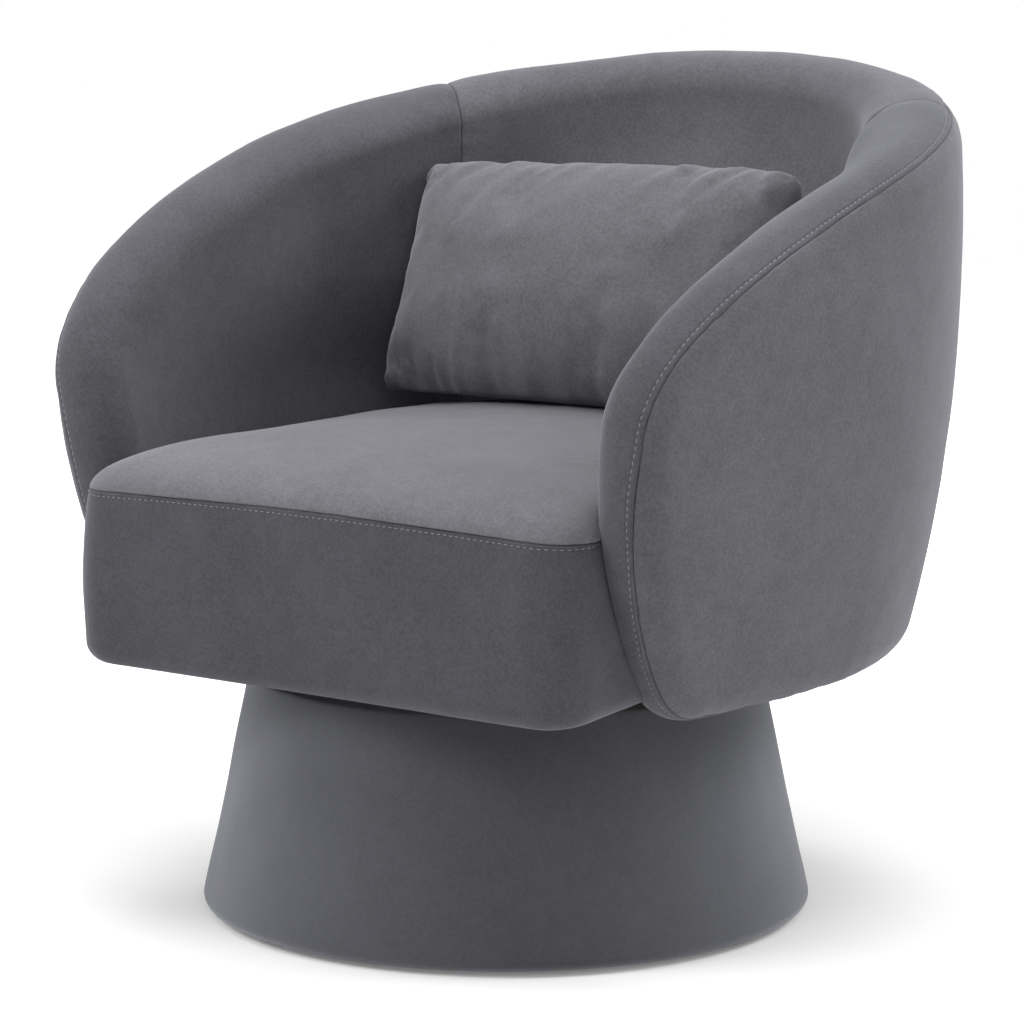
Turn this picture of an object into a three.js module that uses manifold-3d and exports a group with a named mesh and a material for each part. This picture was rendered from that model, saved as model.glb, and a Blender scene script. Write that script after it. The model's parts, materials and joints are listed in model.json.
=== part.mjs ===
// A swivel barrel armchair on a covered cone base, with a loose lumbar pillow.
// Millimetres, +Z up. The origin is on the floor, on the swivel axis.
// The chair faces -Y, and +X is the arm on the right as a viewer faces the chair.
import * as THREE from "three";
import { mergeVertices } from "three/addons/utils/BufferGeometryUtils.js";
import Module from "manifold-3d";

const wasm = await Module();
wasm.setup();

// Clearances
const TOUCH_GAP = 0.3;
const CUT_OVERRUN = 6;
const WELD_DISTANCE = 1e-3;
const PROBE_STEP = 1;

// Covered cone base
const BASE_RADIUS = 275;
const BASE_TOP_RADIUS = 232;
const BASE_HEIGHT = 217;
const BASE_EDGE_RADIUS = 20;
const BASE_COVER_BOTTOM = 3.7;
const BASE_PADDING = 23;
const COVER_FOLD = 2;
const HEM_WIDTH = 22;
const TOP_FOLD_CLEARANCE = 9;
const CONE_PANEL_THICKNESS = 4;
const DISC_THICKNESS = 18;
const FLOOR_DISC_HEIGHT = 6;
const DUST_COVER_THICKNESS = 1.2;
const DUST_COVER_MARGIN = 4;
const POST_WIDTH = 40;
const POST_RING_INSET = 84;
const POST_COUNT = 4;
const GLIDE_RADIUS = 15;
const GLIDE_HEIGHT = 4;
const GLIDE_PIN_RADIUS = 3;
const GLIDE_PIN_LENGTH = 15;
const GLIDE_RING_RADIUS = 205;
const GLIDE_COUNT = 5;

// Ball bearing swivel between base and seat
const SWIVEL_HEIGHT = 26;
const PLATE_WIDTH = 230;
const PLATE_CORNER_RADIUS = 12;
const PLATE_THICKNESS = 3;
const RACE_RADIUS = 78;
const RACE_HALF_WIDTH = 11;
const RACE_GAP = 7;
const BALL_RADIUS = 6;
const BALL_CLEARANCE = 0.7;
const BALL_COUNT = 12;
const CAGE_HALF_WIDTH = 8;
const CAGE_THICKNESS = 2.4;
const BOLT_RADIUS = 3;
const BOLT_HEAD_RADIUS = 5.5;
const BOLT_HEAD_HEIGHT = 4;
const BOLT_HOLE_RADIUS = 3.8;
const BOLT_CIRCLE_RADIUS = 134;
const BOLT_LENGTH = 17;
const BOLT_COUNT = 4;
const PIN_RADIUS = 9;
const PIN_HEAD_RADIUS = 16;
const PIN_HEAD_HEIGHT = 4;
const PIN_HOLE_RADIUS = 9.6;
const PIN_RECESS_RADIUS = 20;
const PIN_END_ALLOWANCE = 10;
const RETAINER_HEIGHT = 5;

// Seat box and its nose, which stands forward of the arms
const NOSE_SHELL_INSET = 63;
const NOSE_FRONT = -283;
const NOSE_CORNER_RADIUS = 45;
const NOSE_LIFT = 14;
const NOSE_BOTTOM_RISE = 15;
const NOSE_RISE_RUN = 193;
const NOSE_BOTTOM_RADIUS = 20;
const NOSE_SIDE_BULGE = 3.5;
const NOSE_TOP_LEAN = 4;
const NOSE_LENGTH = 175;
const BORDER_HEIGHT = 157;
const SEAM_DROP = 5.5;
const BORDER_THICKNESS = 25;
const RAIL_THICKNESS = 22;
const RAIL_HEIGHT = 80;
const SEAT_BOARD_THICKNESS = 18;
const SEAT_SIDE_LENGTH = 350;
const SPRING_LENGTH = 475;
const SEAT_BOARD_LENGTH = 578;
const CRADLE_CLEARANCE = 1;

// Seat suspension and cushion
const SPRING_COUNT = 4;
const SPRING_SPACING = 90;
const SPRING_WIRE_RADIUS = 1.9;
const SPRING_WAVE_HALF_WIDTH = 19;
const SPRING_WAVE_COUNT = 11;
const SPRING_END_LENGTH = 12;
const CLIP_STRIP_WIDTH = 14;
const CLIP_STRIP_THICKNESS = 2;
const SPRING_COVER_THICKNESS = 2;
const CUSHION_PLUG_DEPTH = 6.2;
const CUSHION_CROWN = 49;
const CUSHION_LENGTH = 613;
const CUSHION_BACK_RADIUS = 210;
const CUSHION_CROWN_SHARE = 3.2;
const CUSHION_SHOULDER_SHARE = 1 / 1.8;

// Padded barrel shell: a thick sheet with half-round edges
const SHELL_HALF_WIDTH = 340;
const SHELL_HALF_DEPTH = 335;
const SHELL_CENTRE_Y = 57;
const ARM_LENGTH = 303;
const ARM_TOE_IN = 39;
const SHELL_THICKNESS = 73;
const SHELL_LIFT = 7;
const SHELL_HEIGHT = 536;
const ARM_FRONT_RISE = 256;
const BACK_BOTTOM_RISE = 16;
const ARM_CORNER_LENGTH = 118;
const WIDEST_RISE = 401;
const BOTTOM_TAPER = 63;
const TAPER_CURVE_SHARE = 2.2;
const TOP_LEAN = 8;
const RIM_FLAT_SHARE = 0.362;
const RIM_FALL_SHARE = 0.537;
const CORNER_DROP_SHARE = 0.596;
const CORNER_RUN_SHARE = 0.519;
const BOTTOM_BLEND_SHARES = [0.6, 0.3];
const RIDGE_INSET = 145;
const RIDGE_RISE = 20;
const CORE_THICKNESS = 12;
const CORE_INSET = 14;
const OUTER_SEAM_ANGLE = THREE.MathUtils.degToRad(35.7);
const INSIDE_SEAM_RUN = 314;
const OUTSIDE_SEAM_RUN = 250;
const BACK_SWELL = 88;
const SWELL_HALF_RUN = 300;
const SWELL_FADE_HEIGHT = 260;
const SWELL_FULL_RISE = 82;
const SWELL_GROWTH_HEIGHT = 48;
const SWELL_START_RISE = 4;
const BLOCK_WIDTH = 46;
const BLOCK_HEIGHT = 50;
const BLOCK_COUNT = 5;
const BLOCK_END_CLEARANCE = 2;

// Loose lumbar pillow
const PILLOW_END_MARGIN = 68;
const PILLOW_HEIGHT = 229;
const PILLOW_THICKNESS = 140;
const PILLOW_TILT = THREE.MathUtils.degToRad(21.5);
const PILLOW_SIDE = -34;
const PILLOW_BACK = 161;
const PILLOW_EDGE_THICKNESS = 5;
const PILLOW_SIDE_PULL_SHARE = 0.04;
const PILLOW_END_PULL_SHARE = 0.06;
const PILLOW_FULLNESS_SHARE = 0.42;

// Facets
const ROUND_STEPS = 40;
const SMALL_ROUND_STEPS = 8;
const CORNER_STEPS = 5;
const WIRE_SIDES = 4;
const RACE_STEPS = 24;
const FACE_ROWS = 4;
const CORE_ROWS = 3;
const BACK_STRIP_COUNT = 4;
const ARM_STRIP_COUNT = 6;
const CAP_STEPS = 12;
const EDGE_SAMPLES = 900;
const PLAN_SAMPLES = 400;
const PILLOW_COLUMNS = 16;
const PILLOW_ROWS = 10;

// Heights that follow from the stack
const topDiscTop = BASE_HEIGHT - COVER_FOLD - TOUCH_GAP;
const topDiscBottom = topDiscTop - DISC_THICKNESS;
const floorDiscTop = FLOOR_DISC_HEIGHT + DISC_THICKNESS;
const lowerPlateBottom = topDiscTop + TOUCH_GAP;
const lowerPlateTop = lowerPlateBottom + PLATE_THICKNESS;
const upperPlateTop = lowerPlateBottom + SWIVEL_HEIGHT;
const upperPlateBottom = upperPlateTop - PLATE_THICKNESS;
const raceMiddle = (lowerPlateTop + upperPlateBottom) / 2;
const seatBoardBottom = upperPlateTop + TOUCH_GAP;
const seatBoardTop = seatBoardBottom + SEAT_BOARD_THICKNESS;
const railBottom = seatBoardTop + TOUCH_GAP;
const railTop = railBottom + RAIL_HEIGHT;
const shellBottom = BASE_HEIGHT + SHELL_LIFT;
const shellTop = shellBottom + SHELL_HEIGHT;
const widestHeight = shellBottom + WIDEST_RISE;
const noseBottom = BASE_HEIGHT + NOSE_LIFT;
const seamHeight = noseBottom + BORDER_HEIGHT;
const noseBack = NOSE_FRONT + NOSE_LENGTH;
const noseHalfWidth = SHELL_HALF_WIDTH - NOSE_SHELL_INSET;
const pillowHalfWidth = noseHalfWidth - PILLOW_END_MARGIN;
const boxHalfWidth = noseHalfWidth - BORDER_THICKNESS;
const boxFront = NOSE_FRONT + BORDER_THICKNESS;
const boxBack = boxFront + SEAT_SIDE_LENGTH;
const springBack = boxFront + SPRING_LENGTH;
const springHeight = railTop + TOUCH_GAP + SPRING_WIRE_RADIUS;
const springTop = springHeight + SPRING_WIRE_RADIUS;
const springCoverBottom = springTop + TOUCH_GAP;
const foamBottom = springCoverBottom + SPRING_COVER_THICKNESS + TOUCH_GAP;
const cushionBottom = seamHeight - CUSHION_PLUG_DEPTH;
const cushionBack = NOSE_FRONT + CUSHION_LENGTH;
const shellHalfThickness = SHELL_THICKNESS / 2;
const coreHalfThickness = CORE_THICKNESS / 2;

// Finishes
const finish = (color, roughness, metalness = 0) =>
  new THREE.MeshStandardMaterial({ color, roughness, metalness });
const velvet = finish(0x5a5a60, 0.85);
const velvetDark = finish(0x4c4c53, 0.85);
const foam = finish(0xe6dfb8, 0.9);
const plywood = finish(0xb98f5c, 0.7);
const fibreboard = finish(0x9a7a52, 0.8);
const timber = finish(0xc79a63, 0.65);
const steel = finish(0x8d9096, 0.35, 0.9);
const darkSteel = finish(0x33353a, 0.4, 0.8);
const cambric = finish(0x1c1c1e, 0.95);
const nylon = finish(0x202022, 0.6);

const root = new THREE.Group();

// Adds a piece under its name, with its finish.
function add(name, solid, material) {
  const geometry = solid.isBufferGeometry ? solid : geometryOf(solid);
  const mesh = new THREE.Mesh(geometry, material);
  mesh.name = name;
  root.add(mesh);
}

// Turns closed geometry into a solid that can be joined and cut.
function solidOf(geometry) {
  const bare = new THREE.BufferGeometry();
  bare.setAttribute("position", geometry.getAttribute("position"));
  if (geometry.index) bare.setIndex(geometry.index);
  const merged = mergeVertices(bare, WELD_DISTANCE);
  const mesh = new wasm.Mesh({
    numProp: 3,
    vertProperties: merged.getAttribute("position").array,
    triVerts: new Uint32Array(merged.index.array),
  });
  return new wasm.Manifold(mesh);
}

// Turns a solid back into geometry.
function geometryOf(solid) {
  const mesh = solid.getMesh();
  const geometry = new THREE.BufferGeometry();
  geometry.setAttribute("position", new THREE.BufferAttribute(mesh.vertProperties, 3));
  geometry.setIndex(new THREE.BufferAttribute(mesh.triVerts, 1));
  geometry.computeVertexNormals();
  return geometry;
}

// Keeps the main body of a cut piece and leaves its loose trimmings out.
function mainBody(solid) {
  return solid.decompose().reduce((most, body) => (body.volume() > most.volume() ? body : most));
}

// Collects the faces of a closed skin from grids of points and flat end caps.
class Skin {
  constructor() {
    this.faces = [];
  }

  face(a, b, c) {
    const size = new THREE.Vector3().crossVectors(b.clone().sub(a), c.clone().sub(a)).length();
    const apart = a.distanceTo(b) > WELD_DISTANCE && b.distanceTo(c) > WELD_DISTANCE;
    if (size > 0 && apart && c.distanceTo(a) > WELD_DISTANCE) this.faces.push([a, b, c]);
  }

  // Two faces with the shorter diagonal between them, so that nested skins stay parallel.
  quad(a, b, c, d) {
    const turned = b.distanceTo(d) < a.distanceTo(c);
    this.face(a, b, turned ? d : c);
    this.face(turned ? b : a, c, d);
  }

  // Joins each row of points to the next, and the last to the first when the grid is closed.
  grid(rows, closed = false) {
    const count = closed ? rows.length : rows.length - 1;
    for (let i = 0; i < count; i++) {
      const here = rows[i];
      const next = rows[(i + 1) % rows.length];
      for (let k = 0; k + 1 < here.length; k++) {
        this.quad(here[k], next[k], next[k + 1], here[k + 1]);
      }
    }
  }

  // Closes a loop of points, triangulated in the flat coordinates given for it.
  cap(loop, flat) {
    const turned = THREE.ShapeUtils.area(flat) < 0;
    for (const [a, b, c] of THREE.ShapeUtils.triangulateShape(flat, [])) {
      if (turned) this.face(loop[a], loop[c], loop[b]);
      else this.face(loop[a], loop[b], loop[c]);
    }
  }

  geometry() {
    const volume = this.faces.reduce((sum, [a, b, c]) => sum + a.dot(b.clone().cross(c)), 0);
    const points = this.faces.flatMap(([a, b, c]) => (volume < 0 ? [a, c, b] : [a, b, c]));
    const geometry = new THREE.BufferGeometry().setFromPoints(points);
    const merged = mergeVertices(geometry, WELD_DISTANCE);
    merged.computeVertexNormals();
    return merged;
  }
}

// A flat plate of the shape, from one height to another.
function plate(shape, bottom, top, steps = ROUND_STEPS) {
  const options = { depth: top - bottom, bevelEnabled: false, curveSegments: steps };
  return new THREE.ExtrudeGeometry(shape, options).translate(0, 0, bottom);
}

function box(xRange, yRange, zRange) {
  const [width, depth, height] = [xRange, yRange, zRange].map(([low, high]) => high - low);
  const [x, y, z] = [xRange, yRange, zRange].map(([low, high]) => (low + high) / 2);
  return new THREE.BoxGeometry(width, depth, height).translate(x, y, z);
}

function cylinder(radius, bottom, top, x = 0, y = 0, steps = SMALL_ROUND_STEPS) {
  const rod = new THREE.CylinderGeometry(radius, radius, top - bottom, steps);
  return rod.rotateX(Math.PI / 2).translate(x, y, (bottom + top) / 2);
}

// A revolved body of a closed profile of [radius, height] points.
function revolved(profile, steps = ROUND_STEPS) {
  const points = profile.map(([radius, height]) => new THREE.Vector2(radius, height));
  const skin = new Skin();
  const loop = [...points, points[0]];
  const rows = Array.from({ length: steps }, (_, i) => {
    const turn = (2 * Math.PI * i) / steps;
    return loop.map((p) => new THREE.Vector3(p.x * Math.cos(turn), p.x * Math.sin(turn), p.y));
  });
  skin.grid(rows, true);
  return skin.geometry();
}

// The places of pieces spread round a circle.
function ringPlaces(count, radius, start = 0) {
  return Array.from({ length: count }, (_, i) => {
    const turn = start + (2 * Math.PI * i) / count;
    return new THREE.Vector2(radius * Math.cos(turn), radius * Math.sin(turn));
  });
}

// A square with round corners.
function roundedSquare(width, radius) {
  const half = width / 2;
  const inner = half - radius;
  const shape = new THREE.Shape();
  shape.moveTo(half, -inner);
  shape.lineTo(half, inner);
  shape.absarc(inner, inner, radius, 0, Math.PI / 2);
  shape.absarc(-inner, inner, radius, Math.PI / 2, Math.PI);
  shape.absarc(-inner, -inner, radius, Math.PI, (3 * Math.PI) / 2);
  shape.absarc(inner, -inner, radius, (3 * Math.PI) / 2, 2 * Math.PI);
  return shape;
}

// Cone base

// The outer radius of the base padding at a height: a straight cone above a round bottom edge.
const edgeCentreRadius = BASE_RADIUS - BASE_EDGE_RADIUS;
const edgeCentreHeight = BASE_COVER_BOTTOM + BASE_EDGE_RADIUS;
const toTop = new THREE.Vector2(
  BASE_TOP_RADIUS - edgeCentreRadius,
  BASE_HEIGHT - edgeCentreHeight,
);
const coneTangentTurn = toTop.angle() - Math.acos(BASE_EDGE_RADIUS / toTop.length());
const coneFootRadius = edgeCentreRadius + BASE_EDGE_RADIUS * Math.cos(coneTangentTurn);
const coneFootHeight = edgeCentreHeight + BASE_EDGE_RADIUS * Math.sin(coneTangentTurn);
const coneRadiusAt = (height) =>
  coneFootRadius +
  ((BASE_TOP_RADIUS - coneFootRadius) * (height - coneFootHeight)) /
    (BASE_HEIGHT - coneFootHeight);

// The fold over the base's top ends round the corners of the swivel plate.
const plateReach = Math.SQRT2 * (PLATE_WIDTH / 2 - PLATE_CORNER_RADIUS) + PLATE_CORNER_RADIUS;
const foldRadius = plateReach + TOP_FOLD_CLEARANCE;

function baseCover() {
  const profile = [];
  for (let i = 0; i <= CORNER_STEPS; i++) {
    const turn = -Math.PI / 2 + ((coneTangentTurn + Math.PI / 2) * i) / CORNER_STEPS;
    profile.push([
      edgeCentreRadius + BASE_EDGE_RADIUS * Math.cos(turn),
      edgeCentreHeight + BASE_EDGE_RADIUS * Math.sin(turn),
    ]);
  }
  const foldTop = BASE_HEIGHT - COVER_FOLD;
  const hemTop = BASE_COVER_BOTTOM + COVER_FOLD;
  profile.push([BASE_TOP_RADIUS, BASE_HEIGHT]);
  profile.push([foldRadius, BASE_HEIGHT]);
  profile.push([foldRadius, foldTop]);
  profile.push([coneRadiusAt(foldTop) - BASE_PADDING, foldTop]);
  profile.push([coneRadiusAt(FLOOR_DISC_HEIGHT) - BASE_PADDING, hemTop]);
  profile.push([edgeCentreRadius - HEM_WIDTH, hemTop]);
  profile.push([edgeCentreRadius - HEM_WIDTH, BASE_COVER_BOTTOM]);
  return revolved(profile);
}

const panelOuterAt = (height) => coneRadiusAt(height) - BASE_PADDING - TOUCH_GAP;
const discRadiusAt = (height) => panelOuterAt(height) - CONE_PANEL_THICKNESS - TOUCH_GAP;

function conePanel() {
  return revolved([
    [panelOuterAt(FLOOR_DISC_HEIGHT), FLOOR_DISC_HEIGHT],
    [panelOuterAt(topDiscTop), topDiscTop],
    [panelOuterAt(topDiscTop) - CONE_PANEL_THICKNESS, topDiscTop],
    [panelOuterAt(FLOOR_DISC_HEIGHT) - CONE_PANEL_THICKNESS, FLOOR_DISC_HEIGHT],
  ]);
}

// A disc that narrows with the cone, with round holes at the places given.
function disc(bottom, top, holes) {
  const body = revolved([
    [0, bottom],
    [discRadiusAt(bottom), bottom],
    [discRadiusAt(top), top],
    [0, top],
  ]);
  const drill = ({ x, y, radius }) =>
    solidOf(cylinder(radius, bottom - CUT_OVERRUN, top + CUT_OVERRUN, x, y));
  return holes.reduce((left, hole) => left.subtract(drill(hole)), solidOf(body));
}

const glidePlaces = [new THREE.Vector2(0, 0), ...ringPlaces(GLIDE_COUNT, GLIDE_RING_RADIUS)];
const boltPlaces = ringPlaces(BOLT_COUNT, BOLT_CIRCLE_RADIUS, Math.PI / BOLT_COUNT);

function glide({ x, y }) {
  const foot = [
    [0, 0],
    [GLIDE_RADIUS, 0],
    [GLIDE_RADIUS, GLIDE_HEIGHT],
    [GLIDE_PIN_RADIUS, GLIDE_HEIGHT],
    [GLIDE_PIN_RADIUS, GLIDE_HEIGHT + GLIDE_PIN_LENGTH],
    [0, GLIDE_HEIGHT + GLIDE_PIN_LENGTH],
  ];
  return revolved(foot, 2 * SMALL_ROUND_STEPS).translate(x, y, 0);
}

function buildBase() {
  const pinHoles = glidePlaces.map(({ x, y }) => ({ x, y, radius: BOLT_HOLE_RADIUS }));
  const boltHoles = boltPlaces.map(({ x, y }) => ({ x, y, radius: BOLT_HOLE_RADIUS }));
  const recess = { x: 0, y: 0, radius: PIN_RECESS_RADIUS };
  glidePlaces.forEach((place, i) => add("glide_" + (i + 1), glide(place), nylon));
  add("base_floor_disc", disc(FLOOR_DISC_HEIGHT, floorDiscTop, pinHoles), fibreboard);
  add("base_top_disc", disc(topDiscBottom, topDiscTop, [...boltHoles, recess]), fibreboard);
  const postReach = POST_WIDTH / 2;
  const postRing = BASE_TOP_RADIUS - POST_RING_INSET;
  ringPlaces(POST_COUNT, postRing, Math.PI / POST_COUNT).forEach(({ x, y }, i) => {
    const post = box(
      [x - postReach, x + postReach],
      [y - postReach, y + postReach],
      [floorDiscTop + TOUCH_GAP, topDiscBottom - TOUCH_GAP],
    );
    add("base_post_" + (i + 1), post, timber);
  });
  add("base_cone_panel", conePanel(), fibreboard);
  add("base_cover", baseCover(), velvet);
  const coverEdge = edgeCentreRadius - HEM_WIDTH - DUST_COVER_MARGIN;
  const coverBottom = FLOOR_DISC_HEIGHT - TOUCH_GAP - DUST_COVER_THICKNESS;
  const sheet = new THREE.Shape().absarc(0, 0, coverEdge, 0, 2 * Math.PI);
  sheet.holes = glidePlaces.map(({ x, y }) =>
    new THREE.Path().absarc(x, y, BOLT_HOLE_RADIUS, 0, 2 * Math.PI, true),
  );
  const dust = plate(sheet, coverBottom, coverBottom + DUST_COVER_THICKNESS, SMALL_ROUND_STEPS);
  add("base_dust_cover", dust, cambric);
}

// Swivel

// The ring of a race, open to the balls at one side of its flat face.
function race(plateSide, mouth) {
  const inner = RACE_RADIUS - RACE_HALF_WIDTH;
  const outer = RACE_RADIUS + RACE_HALF_WIDTH;
  const grooveRadius = BALL_RADIUS + BALL_CLEARANCE;
  const depth = Math.abs(mouth - raceMiddle);
  const grooveReach = Math.sqrt(grooveRadius ** 2 - depth ** 2);
  const side = Math.sign(mouth - raceMiddle);
  const groove = Array.from({ length: CORNER_STEPS + 1 }, (_, i) => {
    const across = Math.asin(grooveReach / grooveRadius) * (1 - (2 * i) / CORNER_STEPS);
    return [
      RACE_RADIUS + grooveRadius * Math.sin(across),
      raceMiddle + side * grooveRadius * Math.cos(across),
    ];
  });
  const profile = [[inner, plateSide], [outer, plateSide], [outer, mouth], ...groove, [inner, mouth]];
  return revolved(profile, RACE_STEPS);
}

function swivelPlate(bottom, top, plateSide, mouth) {
  const shape = roundedSquare(PLATE_WIDTH, PLATE_CORNER_RADIUS);
  const holes = boltPlaces.map(({ x, y }) => ({ x, y, radius: BOLT_HOLE_RADIUS }));
  holes.push({ x: 0, y: 0, radius: PIN_HOLE_RADIUS });
  shape.holes = holes.map(({ x, y, radius }) =>
    new THREE.Path().absarc(x, y, radius, 0, 2 * Math.PI, true),
  );
  const flat = solidOf(plate(shape, bottom, top, SMALL_ROUND_STEPS));
  return flat.add(solidOf(race(plateSide, mouth)));
}

function ballCage() {
  const [inner, outer] = [RACE_RADIUS - CAGE_HALF_WIDTH, RACE_RADIUS + CAGE_HALF_WIDTH];
  const [low, high] = [raceMiddle - CAGE_THICKNESS / 2, raceMiddle + CAGE_THICKNESS / 2];
  const ring = revolved([[inner, low], [outer, low], [outer, high], [inner, high]], RACE_STEPS);
  const ball = new THREE.SphereGeometry(BALL_RADIUS, SMALL_ROUND_STEPS, CORNER_STEPS);
  return ringPlaces(BALL_COUNT, RACE_RADIUS).reduce(
    (cage, { x, y }) => cage.add(solidOf(ball.clone().translate(x, y, raceMiddle))),
    solidOf(ring),
  );
}

// A bolt with its head at one height and its shank running up or down from it.
function bolt({ x, y }, headHeight, direction) {
  const profile = [
    [0, 0],
    [BOLT_HEAD_RADIUS, 0],
    [BOLT_HEAD_RADIUS, BOLT_HEAD_HEIGHT],
    [BOLT_RADIUS, BOLT_HEAD_HEIGHT],
    [BOLT_RADIUS, BOLT_HEAD_HEIGHT + BOLT_LENGTH],
    [0, BOLT_HEAD_HEIGHT + BOLT_LENGTH],
  ];
  const heights = profile.map(([radius, along]) => [radius, headHeight + direction * along]);
  return revolved(heights, SMALL_ROUND_STEPS).translate(x, y, 0);
}

function buildSwivel() {
  const lowerMouth = raceMiddle - RACE_GAP / 2;
  const upperMouth = raceMiddle + RACE_GAP / 2;
  const lower = swivelPlate(lowerPlateBottom, lowerPlateTop, lowerPlateBottom, lowerMouth);
  add("swivel_lower_plate", lower, steel);
  const upper = swivelPlate(upperPlateBottom, upperPlateTop, upperPlateTop, upperMouth);
  add("swivel_upper_plate", upper, steel);
  add("ball_cage", ballCage(), darkSteel);
  boltPlaces.forEach((place, i) => {
    const lowHead = lowerPlateTop + TOUCH_GAP + BOLT_HEAD_HEIGHT;
    const highHead = upperPlateBottom - TOUCH_GAP - BOLT_HEAD_HEIGHT;
    add("base_bolt_" + (i + 1), bolt(place, lowHead, -1), darkSteel);
    add("seat_bolt_" + (i + 1), bolt(place, highHead, 1), darkSteel);
  });
  const headTop = lowerPlateBottom - TOUCH_GAP;
  const retainerBottom = upperPlateTop + TOUCH_GAP;
  const pinTop = retainerBottom + PIN_END_ALLOWANCE;
  const pin = revolved(
    [
      [0, headTop - PIN_HEAD_HEIGHT],
      [PIN_HEAD_RADIUS, headTop - PIN_HEAD_HEIGHT],
      [PIN_HEAD_RADIUS, headTop],
      [PIN_RADIUS, headTop],
      [PIN_RADIUS, pinTop],
      [0, pinTop],
    ],
    2 * SMALL_ROUND_STEPS,
  );
  add("swivel_king_pin", pin, darkSteel);
  const retainer = revolved(
    [
      [PIN_HOLE_RADIUS, retainerBottom],
      [PIN_HEAD_RADIUS, retainerBottom],
      [PIN_HEAD_RADIUS, retainerBottom + RETAINER_HEIGHT],
      [PIN_HOLE_RADIUS, retainerBottom + RETAINER_HEIGHT],
    ],
    2 * SMALL_ROUND_STEPS,
  );
  add("king_pin_retainer", retainer, darkSteel);
}

// Barrel shell

// Half of the shell's plan: a quarter ellipse behind, then an arm that toes in towards the front.
class BarrelPlan extends THREE.Curve {
  getPoint(t) {
    if (t < 0.5) {
      const turn = t * Math.PI;
      return new THREE.Vector2(
        SHELL_HALF_WIDTH * Math.sin(turn),
        SHELL_CENTRE_Y + SHELL_HALF_DEPTH * Math.cos(turn),
      );
    }
    const along = 2 * t - 1;
    return new THREE.Vector2(
      SHELL_HALF_WIDTH - ARM_TOE_IN * along ** 2,
      SHELL_CENTRE_Y - ARM_LENGTH * along,
    );
  }
}

const plan = new BarrelPlan();
plan.arcLengthDivisions = PLAN_SAMPLES;
const planRun = plan.getLength();
const ridgeRun = planRun - RIDGE_INSET;

// How far the middle of the shell lies inside its widest plan at a height.
function inwardAt(z) {
  const below = Math.max(0, (widestHeight - z) / (WIDEST_RISE + shellHalfThickness));
  const above = Math.max(0, (z - widestHeight) / (shellTop - widestHeight));
  return BOTTOM_TAPER * below ** TAPER_CURVE_SHARE + TOP_LEAN * above ** 2;
}

// The middle of the shell at a run round the plan and a height.
function middleAt(run, z) {
  const share = Math.min(Math.abs(run) / planRun, 1);
  const side = run < 0 ? -1 : 1;
  const place = plan.getPointAt(share);
  const ahead = plan.getTangentAt(share);
  const inward = inwardAt(z);
  return new THREE.Vector3(side * (place.x + ahead.y * inward), place.y - ahead.x * inward, z);
}

// A point off the middle surface, outwards for a positive offset.
function shellPoint(run, z, offset) {
  const alongRun = middleAt(run + PROBE_STEP, z).sub(middleAt(run - PROBE_STEP, z));
  const alongHeight = middleAt(run, z + PROBE_STEP).sub(middleAt(run, z - PROBE_STEP));
  const outward = alongHeight.cross(alongRun).normalize();
  return middleAt(run, z).addScaledVector(outward, offset);
}

// Half of the shell's edge, unrolled to run and height: over the rim, round the arm, under it.
function edgeCurve() {
  const frontHeight = shellBottom + ARM_FRONT_RISE;
  const backBottom = shellBottom + BACK_BOTTOM_RISE;
  const fallEnd = frontHeight + RIM_FALL_SHARE * (shellTop - frontHeight);
  const point = (run, z) => new THREE.Vector2(run, z);
  const front = point(planRun, frontHeight);
  const under = point(planRun - ARM_CORNER_LENGTH, shellBottom);
  const curve = new THREE.CurvePath();
  curve.add(
    new THREE.CubicBezierCurve(
      point(0, shellTop),
      point(RIM_FLAT_SHARE * planRun, shellTop),
      point(planRun, fallEnd),
      front,
    ),
  );
  curve.add(
    new THREE.CubicBezierCurve(
      front,
      point(planRun, frontHeight - CORNER_DROP_SHARE * ARM_FRONT_RISE),
      point(planRun - ARM_CORNER_LENGTH * (1 - CORNER_RUN_SHARE), shellBottom),
      under,
    ),
  );
  curve.add(
    new THREE.CubicBezierCurve(
      under,
      point(BOTTOM_BLEND_SHARES[0] * planRun, shellBottom),
      point(BOTTOM_BLEND_SHARES[1] * planRun, backBottom),
      point(0, backBottom),
    ),
  );
  return curve;
}

const edgePoints = edgeCurve().getSpacedPoints(EDGE_SAMPLES);
const capStart = edgePoints.findIndex((p) => p.x >= ridgeRun);
const capEnd = edgePoints.findLastIndex((p) => p.x >= ridgeRun);
const rimPoints = edgePoints.slice(0, capStart + 1);
const bottomPoints = edgePoints.slice(capEnd).reverse();

// The edge's height at a run, on a part of the edge that is ordered by run.
function heightOn(points, run) {
  const reach = Math.abs(run);
  const next = Math.max(1, points.findIndex((p) => p.x >= reach));
  const [a, b] = [points[next - 1], points[next]];
  return a.y + ((b.y - a.y) * (reach - a.x)) / (b.x - a.x);
}

// The ridge is the middle line that the shell's faces run in to from the edge.
function ridgeHeight(run) {
  const low = shellBottom + ARM_FRONT_RISE / 2 + RIDGE_RISE;
  const high = (shellTop + shellBottom) / 2;
  const share = Math.min(Math.abs(run) / ridgeRun, 1);
  return low + (high - low) * Math.cos((share * Math.PI) / 2);
}

// A spoke runs from a point on the edge to its foot on the ridge.
class Spoke {
  constructor(run, z) {
    this.run = run;
    this.z = z;
    this.footRun = THREE.MathUtils.clamp(run, -ridgeRun, ridgeRun);
    this.footZ = ridgeHeight(this.footRun);
    this.length = Math.hypot(this.footRun - run, this.footZ - z);
  }

  point(inset, offset) {
    const share = inset / this.length;
    const run = THREE.MathUtils.lerp(this.run, this.footRun, share);
    const z = THREE.MathUtils.lerp(this.z, this.footZ, share);
    return shellPoint(run, z, typeof offset === "function" ? offset(run, z) : offset);
  }
}

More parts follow.
